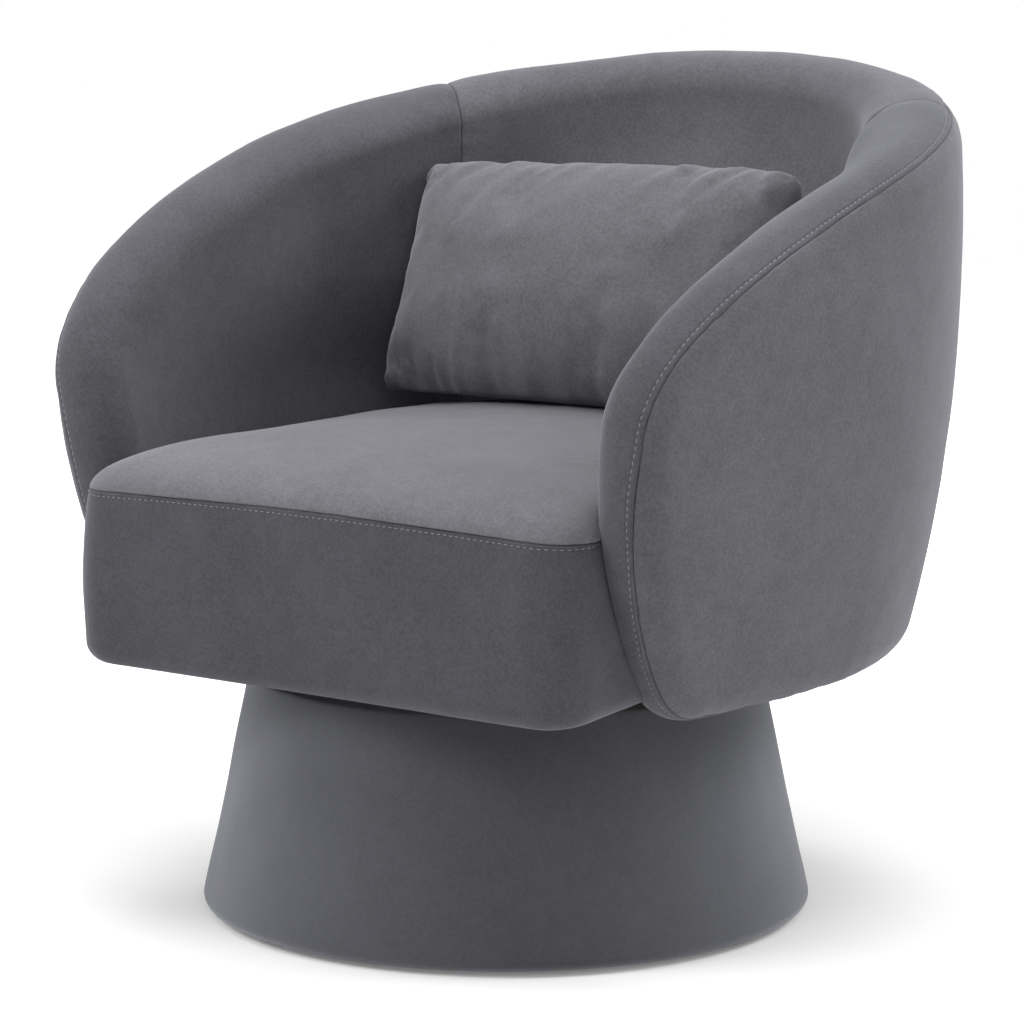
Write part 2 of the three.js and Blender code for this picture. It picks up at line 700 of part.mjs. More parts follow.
// Even runs from one run up to, but without, another.
const runsBetween = (from, to, count) =>
  Array.from({ length: count }, (_, i) => from + ((to - from) * i) / count);
const allRuns = [
  ...runsBetween(0, OUTSIDE_SEAM_RUN, BACK_STRIP_COUNT),
  ...runsBetween(OUTSIDE_SEAM_RUN, INSIDE_SEAM_RUN, 2),
  ...runsBetween(INSIDE_SEAM_RUN, ridgeRun, ARM_STRIP_COUNT),
];

// The spokes round the front of an arm, from its rim to its underside.
function capSpokes(side) {
  return Array.from({ length: CAP_STEPS + 1 }, (_, i) => {
    const point = edgePoints[Math.round(capStart + ((capEnd - capStart) * i) / CAP_STEPS)];
    return new Spoke(side * Math.max(point.x, ridgeRun), point.y);
  });
}

const rimSpokes = (runs) => runs.map((run) => new Spoke(run, heightOn(rimPoints, run)));
const bottomSpokes = (runs) => runs.map((run) => new Spoke(run, heightOn(bottomPoints, run)));
const backwards = (list) => [...list].reverse();
const mirroredRuns = (runs) => [...backwards(runs.filter((run) => run > 0)).map((r) => -r), ...runs];

// The strips of spokes of an arm piece, which starts at a seam and goes round the arm's front.
function armStrips(side, seamRun) {
  const start = seamRun + TOUCH_GAP / 2;
  const runs = [start, ...allRuns.filter((run) => run > start)].map((run) => side * run);
  return [[...rimSpokes(runs), ...capSpokes(side), ...bottomSpokes(backwards(runs))]];
}

// The strips of spokes of a back piece, which lies between two seams.
function backStrips(seamRun) {
  const end = seamRun - TOUCH_GAP / 2;
  const runs = mirroredRuns([...allRuns.filter((run) => run < end), end]);
  return [rimSpokes(runs), bottomSpokes(backwards(runs))];
}

// The strip of spokes all round the shell.
function wholeStrip() {
  const runs = mirroredRuns(allRuns);
  return [...rimSpokes(runs), ...capSpokes(1), ...bottomSpokes(backwards(runs)), ...backwards(capSpokes(-1))];
}

// How far the inside back stands forward of the plain padding, to hold the sitter's back.
function swellAt(run, z) {
  const across = Math.cos((Math.PI / 2) * Math.min(1, Math.abs(run) / SWELL_HALF_RUN)) ** 2;
  const full = seamHeight + SWELL_FULL_RISE;
  const start = seamHeight + SWELL_START_RISE;
  const fade = 1 - THREE.MathUtils.smoothstep(z, full, full + SWELL_FADE_HEIGHT);
  const growth = THREE.MathUtils.smoothstep(z, start, start + SWELL_GROWTH_HEIGHT);
  return BACK_SWELL * across * fade * growth;
}

const insideFace = (extra) => (run, z) => -(shellHalfThickness + extra + swellAt(run, z));
const rowShares = (count) => Array.from({ length: count + 1 }, (_, i) => i / count);

// Points on the half-round edge at angles from the edge line, outwards for positive angles.
const roundPoints = (spoke, radius, angles) =>
  angles.map((turn) => spoke.point(radius * (1 - Math.cos(turn)), radius * Math.sin(turn)));

// Rows of points on a face from the foot of a spoke out to an inset.
const faceRow = (spoke, inset, offset, count) =>
  backwards(rowShares(count)).map((share) =>
    spoke.point(inset + (spoke.length - inset) * share, offset),
  );

const seamInset = shellHalfThickness * (1 - Math.cos(OUTER_SEAM_ANGLE));
const EDGE_ANGLES = [60, 30, 0].map((degrees) => -THREE.MathUtils.degToRad(degrees));

// Section of an inside piece: the inner face, round the edge to the outer seam, back by the core.
function insideSection(spoke) {
  const radius = shellHalfThickness;
  return [
    ...faceRow(spoke, radius, insideFace(0), FACE_ROWS),
    ...roundPoints(spoke, radius, [...EDGE_ANGLES, OUTER_SEAM_ANGLE]),
    spoke.point(seamInset, coreHalfThickness),
    spoke.point(CORE_INSET - TOUCH_GAP, coreHalfThickness),
    ...backwards(
      faceRow(spoke, CORE_INSET - TOUCH_GAP, -coreHalfThickness - TOUCH_GAP, CORE_ROWS),
    ),
  ];
}

// Section of an outside piece: the outer face to the outer seam, then back along the core.
function outsideSection(spoke) {
  const radius = shellHalfThickness;
  const floor = coreHalfThickness + TOUCH_GAP;
  return [
    ...faceRow(spoke, radius, radius, FACE_ROWS),
    ...roundPoints(spoke, radius, [-EDGE_ANGLES[0]]),
    spoke.point(seamInset + TOUCH_GAP, radius * Math.sin(OUTER_SEAM_ANGLE)),
    spoke.point(seamInset + TOUCH_GAP, floor),
    ...backwards(faceRow(spoke, CORE_INSET, floor, CORE_ROWS)),
  ];
}

function coreSection(spoke, extra = 0) {
  const half = coreHalfThickness + extra;
  const inset = CORE_INSET - extra;
  return [
    ...faceRow(spoke, inset, half, CORE_ROWS),
    ...backwards(faceRow(spoke, inset, -half, CORE_ROWS)),
  ];
}

// Section of the whole padded shell, as a cutter for what lies inside it.
function wholeSection(spoke) {
  const radius = shellHalfThickness;
  const edge = [...EDGE_ANGLES, ...backwards(EDGE_ANGLES.slice(0, -1)).map((a) => -a)];
  return [
    ...faceRow(spoke, radius, insideFace(TOUCH_GAP), FACE_ROWS),
    ...roundPoints(spoke, radius, edge),
    ...backwards(faceRow(spoke, radius, radius, FACE_ROWS)),
  ];
}

// A piece of the shell from its strips of spokes, with flat ends where a strip begins and ends.
function shellPiece(strips, section) {
  const skin = new Skin();
  const rows = strips.map((strip) => strip.map(section));
  rows.forEach((strip) => skin.grid(strip));
  const closeEnd = (a, b, run) => {
    const loop = [...a.slice(0, -1), ...backwards(b).slice(0, -1)];
    const ahead = plan.getTangentAt(Math.abs(run) / planRun);
    const across = Math.sign(run) * -ahead.y;
    skin.cap(loop, loop.map((p) => new THREE.Vector2(p.x * across + p.y * ahead.x, p.z)));
  };
  closeEnd(rows[0][0], rows.at(-1).at(-1), strips[0][0].run);
  if (strips.length > 1) closeEnd(rows.at(-1)[0], rows[0].at(-1), strips[0].at(-1).run);
  return skin.geometry();
}

function shellRing(section) {
  const skin = new Skin();
  skin.grid(wholeStrip().map(section), true);
  return skin.geometry();
}

// Seat box and nose

// The front of the seat from the right side round to the left, drawn in by an inset.
function noseOutline(inset, back = noseBack) {
  const corner = new THREE.Vector2(
    noseHalfWidth - NOSE_CORNER_RADIUS,
    NOSE_FRONT + NOSE_CORNER_RADIUS,
  );
  const radius = NOSE_CORNER_RADIUS - inset;
  const half = noseHalfWidth - inset;
  const right = [new THREE.Vector2(half, back), new THREE.Vector2(half, (back + corner.y) / 2)];
  for (let i = 0; i <= CORNER_STEPS; i++) {
    const turn = (Math.PI / 2) * (i / CORNER_STEPS);
    const x = corner.x + radius * Math.cos(turn);
    right.push(new THREE.Vector2(x, corner.y - radius * Math.sin(turn)));
  }
  right.push(new THREE.Vector2(corner.x / 2, NOSE_FRONT + inset));
  const left = backwards(right).map((p) => new THREE.Vector2(-p.x, p.y));
  return [...right, new THREE.Vector2(0, NOSE_FRONT + inset), ...left];
}

const seamAt = (x) => seamHeight - SEAM_DROP * (x / noseHalfWidth) ** 2;

// The underside rises from the front of the nose towards the base.
function noseBottomAt(y) {
  const start = NOSE_FRONT + NOSE_BOTTOM_RADIUS;
  return noseBottom + NOSE_BOTTOM_RISE * THREE.MathUtils.clamp((y - start) / NOSE_RISE_RUN, 0, 1);
}

const flatOf = (points) => points.map((p) => new THREE.Vector2(p.x, p.y));

// Stacked closed loops of points, with flat caps on the first and the last.
function stackedBody(loops) {
  const skin = new Skin();
  skin.grid(loops.map((loop) => [...loop, loop[0]]));
  skin.cap(loops[0], flatOf(loops[0]));
  const top = backwards(loops.at(-1));
  skin.cap(top, flatOf(top));
  return skin.geometry();
}

// The whole nose block, grown by an offset where it is to cut its neighbours.
function noseBody(grow = 0) {
  const loop = (inset, height) =>
    noseOutline(inset - grow, noseBack + grow).map((p) => new THREE.Vector3(p.x, p.y, height(p)));
  const loops = rowShares(CORNER_STEPS).map((share) => {
    const turn = (share * Math.PI) / 2;
    const inset = NOSE_BOTTOM_RADIUS * (1 - Math.sin(turn));
    const rise = NOSE_BOTTOM_RADIUS * (1 - Math.cos(turn)) - grow;
    return loop(inset, (p) => noseBottomAt(p.y) + rise);
  });
  rowShares(FACE_ROWS)
    .slice(1)
    .forEach((share) => {
      const inset = NOSE_TOP_LEAN * share - NOSE_SIDE_BULGE * Math.sin(Math.PI * share);
      const height = (p) =>
        THREE.MathUtils.lerp(noseBottomAt(p.y) + NOSE_BOTTOM_RADIUS, seamAt(p.x) + grow, share);
      loops.push(loop(inset, height));
    });
  return solidOf(stackedBody(loops));
}

// The velvet border of the nose: front, sides and a thin wrap under the seat board.
function noseBorder() {
  const hollow = box(
    [-boxHalfWidth, boxHalfWidth],
    [boxFront, noseBack + CUT_OVERRUN],
    [seatBoardBottom - TOUCH_GAP, seamHeight + CUT_OVERRUN],
  );
  return noseBody().subtract(solidOf(hollow));
}

// The crowned cushion: its outline follows the nose in front and the shell behind.
function cushionOutline(inset) {
  const radius = CUSHION_BACK_RADIUS - inset;
  const centreX = noseHalfWidth - CUSHION_BACK_RADIUS;
  const centreY = cushionBack - CUSHION_BACK_RADIUS;
  const front = noseOutline(inset, (boxFront + centreY) / 2);
  const right = rowShares(CORNER_STEPS).map((share) => {
    const turn = (share * Math.PI) / 2;
    const x = centreX + radius * Math.cos(turn);
    return new THREE.Vector2(x, centreY + radius * Math.sin(turn));
  });
  const left = right.map((p) => new THREE.Vector2(-p.x, p.y));
  return [...front, ...left, ...backwards(right)];
}

const CROWN_RING_SHARES = [1, 0.97, 0.92, 0.85, 0.76, 0.62, 0.42, 0.2];

function cushionBody() {
  const centreY = (NOSE_FRONT + cushionBack) / 2;
  const edge = cushionOutline(NOSE_TOP_LEAN);
  const crownLoop = (share) =>
    edge.map((p) => {
      const x = p.x * share;
      const y = centreY + (p.y - centreY) * share;
      const shoulder = (1 - share ** CUSHION_CROWN_SHARE) ** CUSHION_SHOULDER_SHARE;
      return new THREE.Vector3(x, y, seamAt(x) + TOUCH_GAP + CUSHION_CROWN * shoulder);
    });
  const inset = BORDER_THICKNESS + CRADLE_CLEARANCE;
  const plug = cushionOutline(inset);
  const loops = [
    plug.map((p) => new THREE.Vector3(p.x, p.y, cushionBottom)),
    plug.map((p) => new THREE.Vector3(p.x, p.y, seamAt(p.x) + TOUCH_GAP)),
    ...CROWN_RING_SHARES.map(crownLoop),
  ];
  return solidOf(stackedBody(loops));
}

// The back rail follows the padding's inner face at its lowest height.
const railDraw = inwardAt(railBottom) + shellHalfThickness + CRADLE_CLEARANCE;
const railRadii = [SHELL_HALF_WIDTH - railDraw, SHELL_HALF_DEPTH - railDraw];

function backRail() {
  const arc = ([radiusX, radiusY]) => {
    const start = Math.asin((boxBack + TOUCH_GAP - SHELL_CENTRE_Y) / radiusY);
    return rowShares(4 * CORNER_STEPS).map((share) => {
      const turn = start + (Math.PI - 2 * start) * share;
      return new THREE.Vector2(
        radiusX * Math.cos(turn),
        SHELL_CENTRE_Y + radiusY * Math.sin(turn),
      );
    });
  };
  const inner = arc(railRadii.map((radius) => radius - RAIL_THICKNESS));
  const shape = new THREE.Shape([...arc(railRadii), ...backwards(inner)]);
  return plate(shape, railBottom, railTop);
}

// A zigzag spring: straight ends on the rails and a rippling run between them.
function spring(x) {
  const start = boxFront + RAIL_THICKNESS / 2;
  const end = springBack - RAIL_THICKNESS / 2;
  const points = [new THREE.Vector3(x, start, springHeight)];
  const steps = SPRING_WAVE_COUNT * 4;
  for (let i = 0; i <= steps; i++) {
    const along = i / steps;
    const y = start + SPRING_END_LENGTH + (end - start - 2 * SPRING_END_LENGTH) * along;
    const sway = SPRING_WAVE_HALF_WIDTH * Math.sin(Math.PI * SPRING_WAVE_COUNT * along);
    points.push(new THREE.Vector3(x + sway, y, springHeight));
  }
  points.push(new THREE.Vector3(x, end, springHeight));
  const wire = new THREE.Shape().absarc(0, 0, SPRING_WIRE_RADIUS, 0, 2 * Math.PI);
  const path = new THREE.CatmullRomCurve3(points, false, "centripetal");
  const options = { steps: points.length - 1, extrudePath: path, curveSegments: WIRE_SIDES / 2 };
  return new THREE.ExtrudeGeometry(wire, options);
}

function clipStrip(y, halfLength) {
  const halfWidth = CLIP_STRIP_WIDTH / 2;
  const bottom = springTop + TOUCH_GAP;
  const top = bottom + CLIP_STRIP_THICKNESS;
  return box([-halfLength, halfLength], [y - halfWidth, y + halfWidth], [bottom, top]);
}

const seatEdge = boxHalfWidth - TOUCH_GAP;
const seatFront = boxFront + TOUCH_GAP;

// The seat board, drilled for its bolts and the king pin, and the cloth that closes its underside.
function buildSeatBoard(inShell) {
  const drill = ({ x, y }, radius) => {
    const [low, high] = [seatBoardBottom - CUT_OVERRUN, seatBoardTop + CUT_OVERRUN];
    return solidOf(cylinder(radius, low, high, x, y));
  };
  const across = [-seatEdge, seatEdge];
  const boardBack = boxFront + SEAT_BOARD_LENGTH;
  const board = inShell(box(across, [seatFront, boardBack], [seatBoardBottom, seatBoardTop]));
  const recessed = board.subtract(drill(new THREE.Vector2(), PIN_RECESS_RADIUS));
  const drillBolt = (left, place) => left.subtract(drill(place, BOLT_HOLE_RADIUS));
  add("seat_board", boltPlaces.reduce(drillBolt, recessed), plywood);
  const dustTop = seatBoardBottom - TOUCH_GAP;
  const dustHeights = [dustTop - DUST_COVER_THICKNESS, dustTop];
  const dust = inShell(box(across, [noseBack, boardBack], dustHeights));
  const edge = PLATE_WIDTH / 2 + CRADLE_CLEARANCE;
  const plateHole = box([-edge, edge], [-edge, edge], [BASE_HEIGHT, seatBoardTop]);
  add("seat_dust_cover", dust.subtract(solidOf(plateHole)), cambric);
}

// The timber rails that stand on the board round the seat box and across it.
function buildRails() {
  const heights = [railBottom, railTop];
  const frontBack = seatFront + RAIL_THICKNESS;
  add("front_rail", box([-seatEdge, seatEdge], [seatFront, frontBack], heights), timber);
  const sideRun = [frontBack + TOUCH_GAP, boxBack];
  const inner = seatEdge - RAIL_THICKNESS;
  add("side_rail_left", box([-seatEdge, -inner], sideRun, heights), timber);
  add("side_rail_right", box([inner, seatEdge], sideRun, heights), timber);
  add("back_rail", backRail(), plywood);
  const [reachX, reachY] = railRadii.map((radius) => radius - RAIL_THICKNESS - CRADLE_CLEARANCE);
  const reach = reachX * Math.sqrt(1 - ((springBack - SHELL_CENTRE_Y) / reachY) ** 2);
  const springRail = box([-reach, reach], [springBack - RAIL_THICKNESS, springBack], heights);
  add("spring_rail", springRail, timber);
}

function buildSuspension(inShell) {
  for (let i = 0; i < SPRING_COUNT; i++) {
    const x = SPRING_SPACING * (i - (SPRING_COUNT - 1) / 2);
    add("seat_spring_" + (i + 1), spring(x), darkSteel);
  }
  const stripReach = ((SPRING_COUNT - 1) * SPRING_SPACING) / 2 + SPRING_WAVE_HALF_WIDTH;
  add("front_clip_strip", clipStrip(boxFront + RAIL_THICKNESS / 2, stripReach), steel);
  add("rear_clip_strip", clipStrip(springBack - RAIL_THICKNESS / 2, stripReach), steel);
  const coverEnds = (RAIL_THICKNESS + CLIP_STRIP_WIDTH) / 2 + CRADLE_CLEARANCE;
  const cover = box(
    [-seatEdge, seatEdge],
    [boxFront + coverEnds, springBack - coverEnds],
    [springCoverBottom, springCoverBottom + SPRING_COVER_THICKNESS],
  );
  add("spring_cover", inShell(cover), cambric);
  const foamOutline = new THREE.Shape(cushionOutline(BORDER_THICKNESS + CRADLE_CLEARANCE));
  const slab = plate(foamOutline, foamBottom, cushionBottom - TOUCH_GAP);
  add("seat_foam", inShell(slab), foam);
}

const blockHeight = railBottom + RAIL_HEIGHT / 2;
const blockReach = railDraw - inwardAt(blockHeight) - TOUCH_GAP;

// The depth of the foremost corner of a block that stands at a run on the right.
function blockFrontAt(run) {
  const ahead = plan.getTangentAt(run / planRun);
  return middleAt(run, blockHeight).y - ahead.x * blockReach + (ahead.y * BLOCK_WIDTH) / 2;
}

// The blocks stand evenly along the back rail, the outer ones just behind the side rails.
const lastBlockRun = rowShares(EDGE_SAMPLES)
  .map((share) => share * planRun)
  .findLast((run) => blockFrontAt(run) > boxBack + BLOCK_END_CLEARANCE);
const blockRuns = rowShares(BLOCK_COUNT - 1).map((share) => lastBlockRun * (2 * share - 1));

// A block between the back rail and the shell's core.
function mountingBlock(run, grow = 0) {
  const ahead = plan.getTangentAt(Math.abs(run) / planRun);
  const side = run < 0 ? -1 : 1;
  const outward = new THREE.Vector3(-side * ahead.y, ahead.x, 0);
  const size = [blockReach, BLOCK_WIDTH, BLOCK_HEIGHT].map((length) => length + 2 * grow);
  const block = new THREE.BoxGeometry(...size).rotateZ(Math.atan2(outward.y, outward.x));
  const place = middleAt(run, blockHeight).addScaledVector(outward, -blockReach / 2);
  return solidOf(block.translate(place.x, place.y, place.z));
}

// The core of the shell and the blocks that carry it, in its padding's notches.
function buildShellFrame(nose) {
  const core = mainBody(solidOf(shellRing((spoke) => coreSection(spoke))).subtract(nose));
  add("shell_core_panel", core, plywood);
  const coreSpace = solidOf(shellRing((spoke) => coreSection(spoke, TOUCH_GAP)));
  blockRuns.forEach((run, i) => {
    const block = mainBody(mountingBlock(run).subtract(coreSpace));
    add("shell_block_" + (i + 1), block, timber);
  });
}

// The padded panels of the shell, open for the nose, the seat box and the blocks.
function buildShellPadding(nose) {
  const across = [-boxHalfWidth, boxHalfWidth];
  const along = [boxFront, boxBack + TOUCH_GAP];
  const seatBox = solidOf(box(across, along, [noseBottom - CUT_OVERRUN, railTop + TOUCH_GAP]));
  const notches = blockRuns.map((run) => mountingBlock(run, TOUCH_GAP));
  const inside = (name, strips) => {
    const open = solidOf(shellPiece(strips, insideSection)).subtract(nose).subtract(seatBox);
    const notched = notches.reduce((left, notch) => left.subtract(notch), open);
    add(name, mainBody(notched), velvet);
  };
  const outside = (name, strips) => {
    const open = solidOf(shellPiece(strips, outsideSection)).subtract(nose);
    add(name, mainBody(open), velvetDark);
  };
  inside("inside_back", backStrips(INSIDE_SEAM_RUN));
  inside("inside_arm_left", armStrips(-1, INSIDE_SEAM_RUN));
  inside("inside_arm_right", armStrips(1, INSIDE_SEAM_RUN));
  outside("outside_back", backStrips(OUTSIDE_SEAM_RUN));
  outside("outside_arm_left", armStrips(-1, OUTSIDE_SEAM_RUN));
  outside("outside_arm_right", armStrips(1, OUTSIDE_SEAM_RUN));
}

// Pillow

// A plump pillow with a narrow seam edge, whose sides pull in between its corners.
function pillowBody() {
  const spread = (count) => rowShares(count).map((share) => Math.sin(Math.PI * (share - 0.5)));
  const across = new THREE.Vector3(1, 0, 0);
  const up = new THREE.Vector3(0, Math.sin(PILLOW_TILT), Math.cos(PILLOW_TILT));
  const forward = new THREE.Vector3(0, -Math.cos(PILLOW_TILT), Math.sin(PILLOW_TILT));
  const point = (u, v, side) => {
    const full = ((1 - u * u) * (1 - v * v)) ** PILLOW_FULLNESS_SHARE;
    const crown = (PILLOW_THICKNESS - PILLOW_EDGE_THICKNESS) * full;
    const x = pillowHalfWidth * u * (1 - PILLOW_END_PULL_SHARE * (1 - v * v));
    const z = (PILLOW_HEIGHT / 2) * v * (1 - PILLOW_SIDE_PULL_SHARE * (1 - u * u));
    const y = (side * (PILLOW_EDGE_THICKNESS + crown)) / 2;
    return new THREE.Vector3()
      .addScaledVector(across, x)
      .addScaledVector(up, z)
      .addScaledVector(forward, y);
  };
  const face = (side) =>
    spread(PILLOW_ROWS).map((v) => spread(PILLOW_COLUMNS).map((u) => point(u, v, side)));
  const front = face(1);
  const back = face(-1);
  const skin = new Skin();
  skin.grid(front);
  skin.grid(back.map(backwards));
  const rim = (grid) => [
    ...grid[0],
    ...grid.slice(1).map((row) => row.at(-1)),
    ...backwards(grid.at(-1)).slice(1),
    ...backwards(grid.slice(1, -1)).map((row) => row[0]),
  ];
  const closed = (loop) => [...loop, loop[0]];
  skin.grid([closed(rim(back)), closed(rim(front))]);
  return skin.geometry();
}

// Sets the pillow down on the cushion: the lift at which it just clears the cushion's top.
function buildPillow(cushion) {
  const pillow = pillowBody().translate(PILLOW_SIDE, PILLOW_BACK, 0);
  const seat = new THREE.Mesh(geometryOf(cushion));
  const points = pillow.getAttribute("position");
  const down = new THREE.Vector3(0, 0, -1);
  let lift = 0;
  for (let i = 0; i < points.count; i++) {
    const point = new THREE.Vector3().fromBufferAttribute(points, i);
    const above = new THREE.Vector3(point.x, point.y, shellTop);
    const hits = new THREE.Raycaster(above, down).intersectObject(seat);
    if (hits.length) lift = Math.max(lift, hits[0].point.z - point.z);
  }
  add("lumbar_pillow", pillow.translate(0, 0, lift + TOUCH_GAP), velvet);
}

const noseSpace = noseBody(TOUCH_GAP);
const shellSpace = solidOf(shellRing(wholeSection));
const clearOfShell = (geometry) => mainBody(solidOf(geometry).subtract(shellSpace));

buildBase();
buildSwivel();
buildSeatBoard(clearOfShell);
buildRails();
buildSuspension(clearOfShell);
add("seat_border", noseBorder(), velvetDark);
const cushion = mainBody(cushionBody().subtract(shellSpace));
add("seat_cushion", cushion, velvet);
buildShellFrame(noseSpace);
buildShellPadding(noseSpace);
buildPillow(cushion);

export default root;
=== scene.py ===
"""Swivel barrel armchair in grey velvet, with a loose lumbar pillow: the finish of every surface.

Metres, +Z up. The chair faces -Y, and +X is the arm on the right as a viewer faces the chair.
"""
import json
import logging
import math
from collections.abc import Callable
from dataclasses import dataclass, field
from enum import Enum

import bmesh
import bpy
import numpy as np
from mathutils import Matrix, Vector


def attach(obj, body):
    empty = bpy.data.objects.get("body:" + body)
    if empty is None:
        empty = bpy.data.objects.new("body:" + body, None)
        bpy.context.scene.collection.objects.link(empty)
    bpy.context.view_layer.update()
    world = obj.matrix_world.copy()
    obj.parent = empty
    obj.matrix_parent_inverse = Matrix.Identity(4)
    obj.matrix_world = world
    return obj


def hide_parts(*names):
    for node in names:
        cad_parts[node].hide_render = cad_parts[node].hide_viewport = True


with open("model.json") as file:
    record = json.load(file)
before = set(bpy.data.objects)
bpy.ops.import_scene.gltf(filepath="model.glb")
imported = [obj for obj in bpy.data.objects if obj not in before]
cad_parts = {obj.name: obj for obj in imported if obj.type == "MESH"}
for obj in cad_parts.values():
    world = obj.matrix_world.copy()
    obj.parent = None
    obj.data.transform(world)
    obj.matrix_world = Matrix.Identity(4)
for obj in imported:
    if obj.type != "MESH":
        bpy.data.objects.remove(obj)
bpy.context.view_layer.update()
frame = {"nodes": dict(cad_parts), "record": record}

# Points that agree to this many decimals are one point. The noise of the sums is rounded away
# first, so that it can't part two such points at a half unit.
WELD_DECIMALS = 7
NOISE_DECIMALS = 10
# Gap between pieces that touch, and between the nose and the panels that it stands in.
TOUCH_GAP = 0.0003
NOSE_GAP = 0.0011
CREASE_ANGLE = math.radians(50.0)
# Reach that stands for none to keep to, where the shell is open.
NO_LIMIT = 9.0
# Half the least thickness that a block is taken to have when it is grown.
SMALLEST_HALF = 0.008
QUARTER = math.pi / 2.0
MIRROR = np.array([-1.0, 1.0])
# How far a cutter reaches past what it cuts, and how far below the seat board.
CUT_MARGIN = 0.01
DEEP_CUT = 0.03
# Distances from a seam, close together where the cover rolls in and is stitched. A piece
# without stitches leaves out the last few.
SEAM_STEPS = np.array([0.0, 0.06, 0.22, 0.5, 0.9, 1.4, 2.0, 2.6, 3.3, 4.1, 5.0, 5.6, 6.0, 6.3,
                       6.6, 7.0, 7.7, 8.8, 10.4, 12.6, 15.4, 18.8, 22.6, 26.8]) * 0.001
PLAIN_SEAM_STEPS = SEAM_STEPS[:-3]

# Short names for the types that the hints use most.
Array = np.ndarray
Pair = tuple[float, float]
Triple = tuple[float, float, float]
Item = bpy.types.Object
Finish = bpy.types.Material
Socket = bpy.types.NodeSocket

log = logging.getLogger("armchair")


class Side(Enum):
    """The two arms, as a viewer faces the chair."""

    LEFT = -1
    RIGHT = 1


# Shapes as arrays


def smoothstep(low: float, high: float, value: Array) -> Array:
    """Rises from 0 at low to 1 at high as 3 t squared less 2 t cubed."""
    t = np.clip((value - low) / (high - low), 0.0, 1.0)
    return t * t * (3.0 - 2.0 * t)


def lattice_value(cells: Array, seed: int) -> Array:
    """Gives each whole-number lattice point its own fixed value from -1 to 1.

    Args:
        cells: Lattice points, as integers in the last axis of three.
        seed: Which pattern of values to give.

    Returns:
        One value per lattice point.
    """
    mixed = cells[..., 0] * 73856093 ^ cells[..., 1] * 19349663 ^ cells[..., 2] * 83492791
    mixed = (mixed ^ (seed * 40503 + 7919)) & 0x7FFFFFFF
    mixed = ((mixed ^ (mixed >> 15)) * 461845907) & 0x7FFFFFFF
    mixed = ((mixed ^ (mixed >> 13)) * 224682251) & 0x7FFFFFFF
    return (mixed & 0xFFFFF) / float(0x7FFFF) - 1.0


def drift(points: Array, length: float, seed: int) -> Array:
    """Smooth wandering value from -1 to 1, as lattice values blended across each cell.

    Args:
        points: Points in space, in metres, in the last axis of three.
        length: Size of a lattice cell, about half a wave.
        seed: Which pattern to give.

    Returns:
        One value per point.
    """
    cell = np.floor(points / length).astype(np.int64)
    t = points / length - cell
    t = t * t * t * (t * (t * 6.0 - 15.0) + 10.0)
    total = np.zeros(points.shape[:-1])
    for corner in np.ndindex(2, 2, 2):
        step = np.array(corner)
        weight = np.prod(np.where(step == 1, t, 1.0 - t), axis=-1)
        total += weight * lattice_value(cell + step, seed)
    return total


@dataclass(frozen=True)
class Waves:
    """Waves in a cover: their height, about half their length, and the reach of their fade."""

    height: float
    length: float
    reach: float = math.inf

    def at(self, points: Array, seed: int, gap: Array | float = 0.0) -> Array:
        """Rise at points: a wandering value, which fades with the gap to a seam."""
        return self.height * drift(points, self.length, seed) * np.exp(-gap / self.reach)


# The long and the short waves of a padded cover.
PADDING = (Waves(0.0009, 0.085), Waves(0.0004, 0.038))


def fabric_swell(points: Array, seed: int) -> Array:
    """Long shallow waves of a padded cover, in two sizes."""
    return sum(waves.at(points, seed + i) for i, waves in enumerate(PADDING))


@dataclass(frozen=True)
class StitchValley:
    """The valley that topstitching draws into a cover, and the lip between it and the seam."""

    gap: float
    width: float
    lip_gap: float
    lip_width: float
    depth: float = 0.0007
    lip_height: float = 0.0003

    def at(self, gap: Array) -> Array:
        """Rise at gaps to the seam: one bell curve for the lip, less one for the valley."""
        lip = self.lip_height * bell(gap, self.lip_gap, self.lip_width)
        return lip - self.depth * bell(gap, self.gap, self.width)


def blurred(grid: Array, width: float) -> Array:
    """Blurs a grid of points with a bell curve, each edge carried on by its turned mirror image.

    Args:
        grid: Rows and columns of points.
        width: Width of the bell in cells.

    Returns:
        The blurred grid, whose edge points stay where they were.
    """
    half = int(3.0 * width)
    weights = bell(np.arange(-half, half + 1), 0.0, 1.414 * width)
    weights /= weights.sum()
    for axis in (0, 1):
        line = np.moveaxis(grid, axis, 0)
        before = 2.0 * line[:1] - line[half:0:-1]
        after = 2.0 * line[-1:] - line[-2 : -half - 2 : -1]
        long = np.concatenate([before, line, after])
        line = sum(w * long[i : i + len(line)] for i, w in enumerate(weights))
        grid = np.moveaxis(line, 0, axis)
    return grid


def rolled_in(distance: Array, radius: float) -> Array:
    """Depth of a cover that rolls into a seam: a quarter circle that ends upright at the seam."""
    left = np.clip(1.0 - distance / radius, 0.0, 1.0)
    return radius * (1.0 - np.sqrt(1.0 - left * left))


def bell(value: Array, centre: float, width: float) -> Array:
    """Bell curve of height 1 round a centre."""
    return np.exp(-(((value - centre) / width) ** 2))


def unit(directions: Array) -> Array:
    """Scales directions to length 1."""
    return directions / np.linalg.norm(directions, axis=-1, keepdims=True)


def travelled(points: Array) -> Array:
    """Distance of each point along a line from its first point."""
    return np.concatenate([[0.0], np.cumsum(np.linalg.norm(np.diff(points, axis=0), axis=1))])


def mirrored(line: Array) -> Array:
    """Carries a plan line on by its mirror image, back from its last point."""
    return np.concatenate([line, line[-2::-1] * MIRROR])


